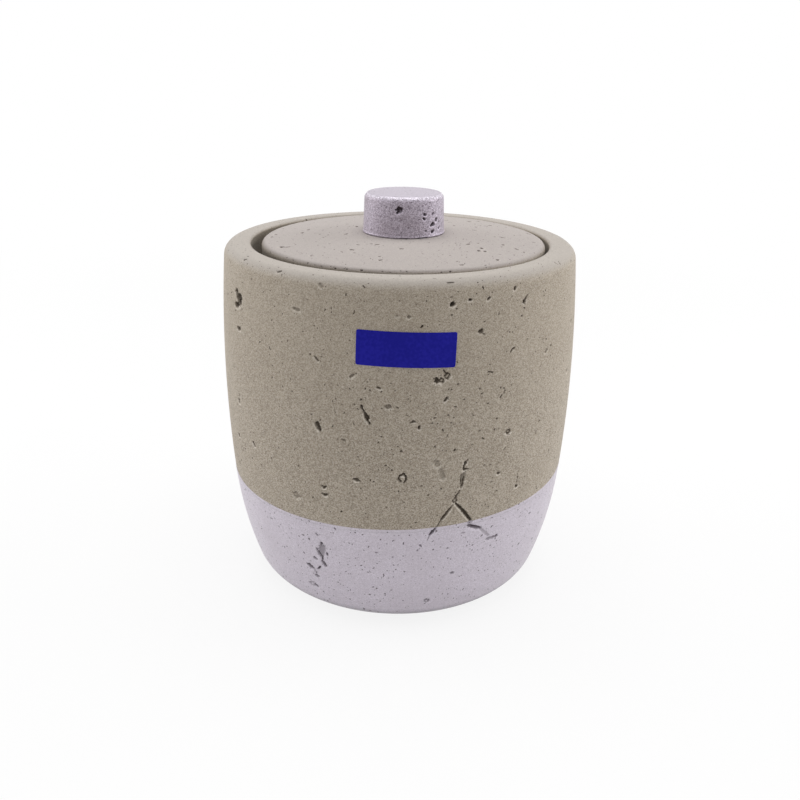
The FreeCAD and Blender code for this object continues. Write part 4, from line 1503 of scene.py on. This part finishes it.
# %% [markdown]
# ## Lilac metallic paint
#
# Metallic paint holds tiny flakes in a coloured lacquer. Real flakes are too small to model, so the shader is
# part metal, and every flake has its own tone and roughness. The paint is worn in cloudy places, and faces
# that look up have a tone of their own. Low down, where the band turns under, a painted shade darkens it,
# and on a rounded upper edge a painted highlight lies on the flakes. The concrete below prints through as a
# soft bump, and the pinholes that the paint didn't fill are darkened as painted shade. Pale lips below the
# pits are a painted highlight.

# %% Paint
# Colour of the painted shade in pinholes and sunken marks.
PAINT_HOLE = (0.022, 0.008, 0.015, 1)
# Painted shade where the band turns under, towards the floor.
PAINTED_UNDER_SHADE = (0.16, 0.14, 0.16, 1)
# Painted highlight along the knob's rounded upper edge.
PAINTED_EDGE_HIGHLIGHT = (0.88, 0.84, 0.92, 1)
WORN_CLOUDS = (0.42, 0.64)
# Faces that look up get a tone of their own, by this ramp of the slope.
TOP_TONE_BY_SLOPE = (0.3, 0.95, 0.0, 0.85)
UNDER_SHADE_BY_SLOPE = (-0.75, -0.28, 0.6, 0.0)
EDGE_BEGINS = (0.3, 0.65)
EDGE_ENDS = (0.8, 0.99, 1.0, 0.0)
HIGHLIGHT_BY_FLAKE = (0.2, 1.0, 0.0, 0.75)
# Painted highlight on lips, from the shade below zero.
PAINT_LIP_HIGHLIGHT = -0.9                    # turns the shade of a lip, below zero, into a share of bright paint
PAINT_ROUGH = (0.3, 0.7, 0.52, 0.38)
PAINT_BUMP = (0.08 * MM, 0.5)


def paint_finish(name, dull, bright, worn, worn_share, top_tone, largest_hole, **plain):
    """Flakes between dull and bright lilac, worn in thin places, own tone on top, painted shade and
    highlights.
    """
    material, tree, shader, place = new_material(name, Specular_IOR_Level=0.4, **plain)
    grain = use_group(tree, grain_group, {"Place": place, "Grains": 5200.0, "Clouds": 70.0})
    holes = use_group(tree, hole_group, {"Place": place, "Holes": 1250.0, "Largest": largest_hole})["Hole"]
    hollow, upward = mask(tree, HOLLOW), mask(tree, UPWARD)
    colour = mix(tree, grain["Tone"], dull, bright)
    colour = mix(tree, ramp(tree, grain["Cloud"], *WORN_CLOUDS, 0.0, worn_share), colour, worn)
    # Faces that look up get a tone of their own.
    colour = mix(tree, ramp(tree, upward, *TOP_TONE_BY_SLOPE), colour, top_tone)
    # Painted shade low down, where the band turns under.
    colour = mix(tree, ramp(tree, upward, *UNDER_SHADE_BY_SLOPE), colour, PAINTED_UNDER_SHADE)
    # Painted highlight along the rounded upper edge, speckled by the flakes.
    edge = calc(tree, "MULTIPLY", ramp(tree, upward, *EDGE_BEGINS), ramp(tree, upward, *EDGE_ENDS))
    edge_highlight = calc(tree, "MULTIPLY", edge, ramp(tree, grain["Tone"], *HIGHLIGHT_BY_FLAKE))
    colour = mix(tree, edge_highlight, colour, PAINTED_EDGE_HIGHLIGHT)
    # Painted highlight: lips below the pits are made bright.
    colour = mix(tree, calc(tree, "MULTIPLY", hollow, PAINT_LIP_HIGHLIGHT), colour, bright)
    # Painted shade: pinholes and sunken marks are darkened.
    colour = mix(tree, darkness(tree, holes, hollow, hole_darkness=0.85), colour, PAINT_HOLE)
    tree.links.new(colour, shader.inputs["Base Color"])
    tree.links.new(ramp(tree, grain["Grain"], *PAINT_ROUGH), shader.inputs["Roughness"])
    roughen(tree, shader, calc(tree, "SUBTRACT", grain["Grain"], holes), *PAINT_BUMP)
    return material


band_paint = paint_finish(
    "band_paint", dull=(0.51, 0.46, 0.52, 1), bright=(0.695, 0.645, 0.715, 1), worn=(0.52, 0.47, 0.52, 1),
    worn_share=0.3, top_tone=(0.66, 0.61, 0.68, 1), largest_hole=0.39, Metallic=0.3)
knob_paint = paint_finish(
    "knob_paint", dull=(0.22, 0.185, 0.225, 1), bright=(0.66, 0.59, 0.69, 1), worn=(0.29, 0.24, 0.27, 1),
    worn_share=0.31, top_tone=(0.41, 0.372, 0.425, 1), largest_hole=0.3, Metallic=0.25)
dress(painted_band, band_paint)
dress(knob, knob_paint)
print("materials:", band_paint.name, knob_paint.name)

# %% [markdown]
# ## Label, rubber and silicone
#
# The label is a film: deep blue with a faint fleck and a soft gloss. The foot pad is foam rubber, almost
# black with fine open cells. The ring is milky silicone with a little dust. All three are two near tones
# mixed by noise, so one function makes them.

# %% Label and soft materials
FLECK_SHARE = 0.5                   # of the grain and of the cloud
FLECK_EDGE = (0.38, 0.62)
GRAIN_RANGE = (0.3, 0.7)


def flecked(name, dark, light, grains, rough, bump, **plain):
    """A plain stuff with a fleck of its own: noise mixes two near tones and sets roughness and bump."""
    material, tree, shader, place = new_material(name, **plain)
    grain = use_group(tree, grain_group, {"Place": place, "Grains": grains, "Clouds": 90.0})
    grain_share = calc(tree, "MULTIPLY", grain["Grain"], FLECK_SHARE)
    share = calc(tree, "MULTIPLY_ADD", grain["Cloud"], FLECK_SHARE, grain_share)
    colour = mix(tree, ramp(tree, share, *FLECK_EDGE), dark, light)
    tree.links.new(colour, shader.inputs["Base Color"])
    tree.links.new(ramp(tree, grain["Grain"], *GRAIN_RANGE, *rough), shader.inputs["Roughness"])
    roughen(tree, shader, grain["Grain"], bump)
    return material


label_blue = flecked(
    "label_blue", dark=(0.008, 0.008, 0.27, 1), light=(0.013, 0.012, 0.33, 1), grains=1400.0,
    rough=(0.6, 0.5), bump=0.01 * MM, Specular_IOR_Level=0.12)
rubber = flecked(
    "foam_rubber", dark=(0.035, 0.035, 0.036, 1), light=(0.075, 0.075, 0.075, 1), grains=2600.0,
    rough=(0.95, 0.8), bump=0.15 * MM)
silicone = flecked(
    "milky_silicone", dark=(0.56, 0.56, 0.545, 1), light=(0.68, 0.68, 0.66, 1), grains=900.0,
    rough=(0.5, 0.32), bump=0.02 * MM)
dress(label, label_blue)
dress(foot_pad, rubber)
dress(seal_ring, silicone)
print("materials:", label_blue.name, rubber.name, silicone.name)

# %% [markdown]
# ## The metal fixings
#
# Screw, washer and insert stay as the construction made them, and only their finish is new. Turned brass and
# zinc plate both show fine rings round the axis, so a wave of rings about the lid's axis bends the roughness.

# %% Metals
METAL_ROUGH = (0.0, 1.0, 0.24, 0.42)
METAL_BUMP = 0.01 * MM


def turned_metal(name, dark, light, rings):
    """Metal with fine turned rings about the lid's axis and a cloudy tarnish."""
    material, tree, shader, place = new_material(name, Metallic=1.0)
    centred = add(tree, "ShaderNodeMapping", {"Vector": place, "Location": (-lid_axis, 0, 0)}).outputs[0]
    wave = {"Vector": centred, "Scale": rings, "Distortion": 0.6, "Detail": 2.0}
    lines = add(tree, "ShaderNodeTexWave", wave, wave_type="RINGS", rings_direction="Z").outputs[1]
    grain = use_group(tree, grain_group, {"Place": place, "Grains": 1800.0, "Clouds": 260.0})
    colour = mix(tree, ramp(tree, grain["Cloud"], *CLOUDY), dark, light)
    tree.links.new(colour, shader.inputs["Base Color"])
    tree.links.new(ramp(tree, lines, *METAL_ROUGH), shader.inputs["Roughness"])
    roughen(tree, shader, lines, METAL_BUMP)
    return material


brass = turned_metal("turned_brass", dark=(0.62, 0.44, 0.18, 1), light=(0.78, 0.61, 0.30, 1), rings=700.0)
zinc = turned_metal("zinc_steel", dark=(0.52, 0.53, 0.55, 1), light=(0.68, 0.68, 0.68, 1), rings=500.0)
for node, metal in (("knob_insert", brass), ("knob_washer", zinc), ("knob_screw", zinc)):
    dress(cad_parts[node], metal)
print("materials:", brass.name, zinc.name)

# %% [markdown]
# ## The floor
#
# The photograph has a bare white ground, so the floor looks white to the camera and to reflections, but only
# a pale grey floor throws light back on the object. Near the jar a little of the floor's own shading is mixed
# in, so a soft shadow stays.

# %% Floor
FLOOR_TONE = (0.8, 0.8, 0.8, 1)
WHITE = (1, 1, 1, 1)
WHITE_BY_DISTANCE = (0.16, 0.5, 0.86, 1.0)      # two distances in metres, and the share of white at them
floor_half = 3.0


def looked_at(tree):
    """One for rays that come from the camera, a glossy reflection or glass, else zero."""
    path = add(tree, "ShaderNodeLightPath").outputs
    seen = calc(tree, "MAXIMUM", path["Is Camera Ray"], path["Is Glossy Ray"])
    return calc(tree, "MAXIMUM", seen, path["Is Transmission Ray"])


def floor_finish():
    """White to the eye, with a soft shadow near the middle, and pale grey to the light it throws back."""
    material, tree, shader, place = new_material("floor", Roughness=0.9, Specular_IOR_Level=0.0)
    shader.inputs["Base Color"].default_value = FLOOR_TONE
    distance = add(tree, "ShaderNodeVectorMath", {0: place}, operation="LENGTH").outputs["Value"]
    glow = add(tree, "ShaderNodeEmission", {"Color": WHITE, "Strength": 1.0}).outputs[0]
    grey = shader.outputs[0]
    share = ramp(tree, distance, *WHITE_BY_DISTANCE)
    white = add(tree, "ShaderNodeMixShader", {0: share, 1: grey, 2: glow}).outputs[0]
    final = add(tree, "ShaderNodeMixShader", {0: looked_at(tree), 1: grey, 2: white}).outputs[0]
    tree.links.new(final, tree.nodes["Material Output"].inputs["Surface"])
    return material


floor_mesh = bpy.data.meshes.new("floor")
floor_corners = [(floor_half * x, floor_half * y, 0) for x, y in ((-1, -1), (1, -1), (1, 1), (-1, 1))]
floor_mesh.from_pydata(floor_corners, [], [(0, 1, 2, 3)])
floor = bpy.data.objects.new("floor", floor_mesh)
scene.collection.objects.link(floor)
dress(floor, floor_finish())
print("floor: %.0f m square" % (2 * floor_half))

# %% [markdown]
# ## The sky
#
# The background is white too, but a white sky would light the jar so evenly that its form would be lost. So
# the world is white only where it is looked at, and weaker where it gives light.

# %% Sky
sky_strength = 0.37
world = bpy.data.worlds.new("studio")
world.use_nodes = True
scene.world = world
sky_tree = world.node_tree
sky_back = sky_tree.nodes["Background"]
sky_back.inputs["Color"].default_value = WHITE
sky_level = calc(sky_tree, "MULTIPLY_ADD", looked_at(sky_tree), 1 - sky_strength, sky_strength)
sky_tree.links.new(sky_level, sky_back.inputs["Strength"])
print("sky strength:", sky_strength)

# %% [markdown]
# ## The lights
#
# A large softbox overhead gives the rim and the lid their brightness. Two weaker ones at the sides lift the
# edges of the wall. Each has a place and an aim in metres, a size in metres and a strength in watts.

# %% Softboxes
SOFTBOXES = {
    "softbox_top": ((0.0, 0.06, 0.75), (0.0, 0.0, 0.09), 0.6, 3.85),
    "softbox_left": ((-0.6, 0.12, 0.28), (0.0, 0.0, 0.06), 0.45, 1.75),
    "softbox_right": ((0.6, 0.10, 0.28), (0.0, 0.0, 0.06), 0.45, 2.1),
}
for name, (place, aim, size, watts) in SOFTBOXES.items():
    lamp = bpy.data.lights.new(name, "AREA")
    lamp.shape = "SQUARE"
    lamp.size = size
    lamp.energy = watts
    softbox = bpy.data.objects.new(name, lamp)
    aim_way = Vector(aim) - Vector(place)
    softbox.matrix_world = Matrix.Translation(place) @ aim_way.to_track_quat("-Z", "Y").to_matrix().to_4x4()
    scene.collection.objects.link(softbox)
scene.view_settings.view_transform = "Standard"
print("lights:", len(SOFTBOXES))

# %% [markdown]
# ## The end
#
# Last, the view layer is brought up to date.

# %% Finish
bpy.context.view_layer.update()
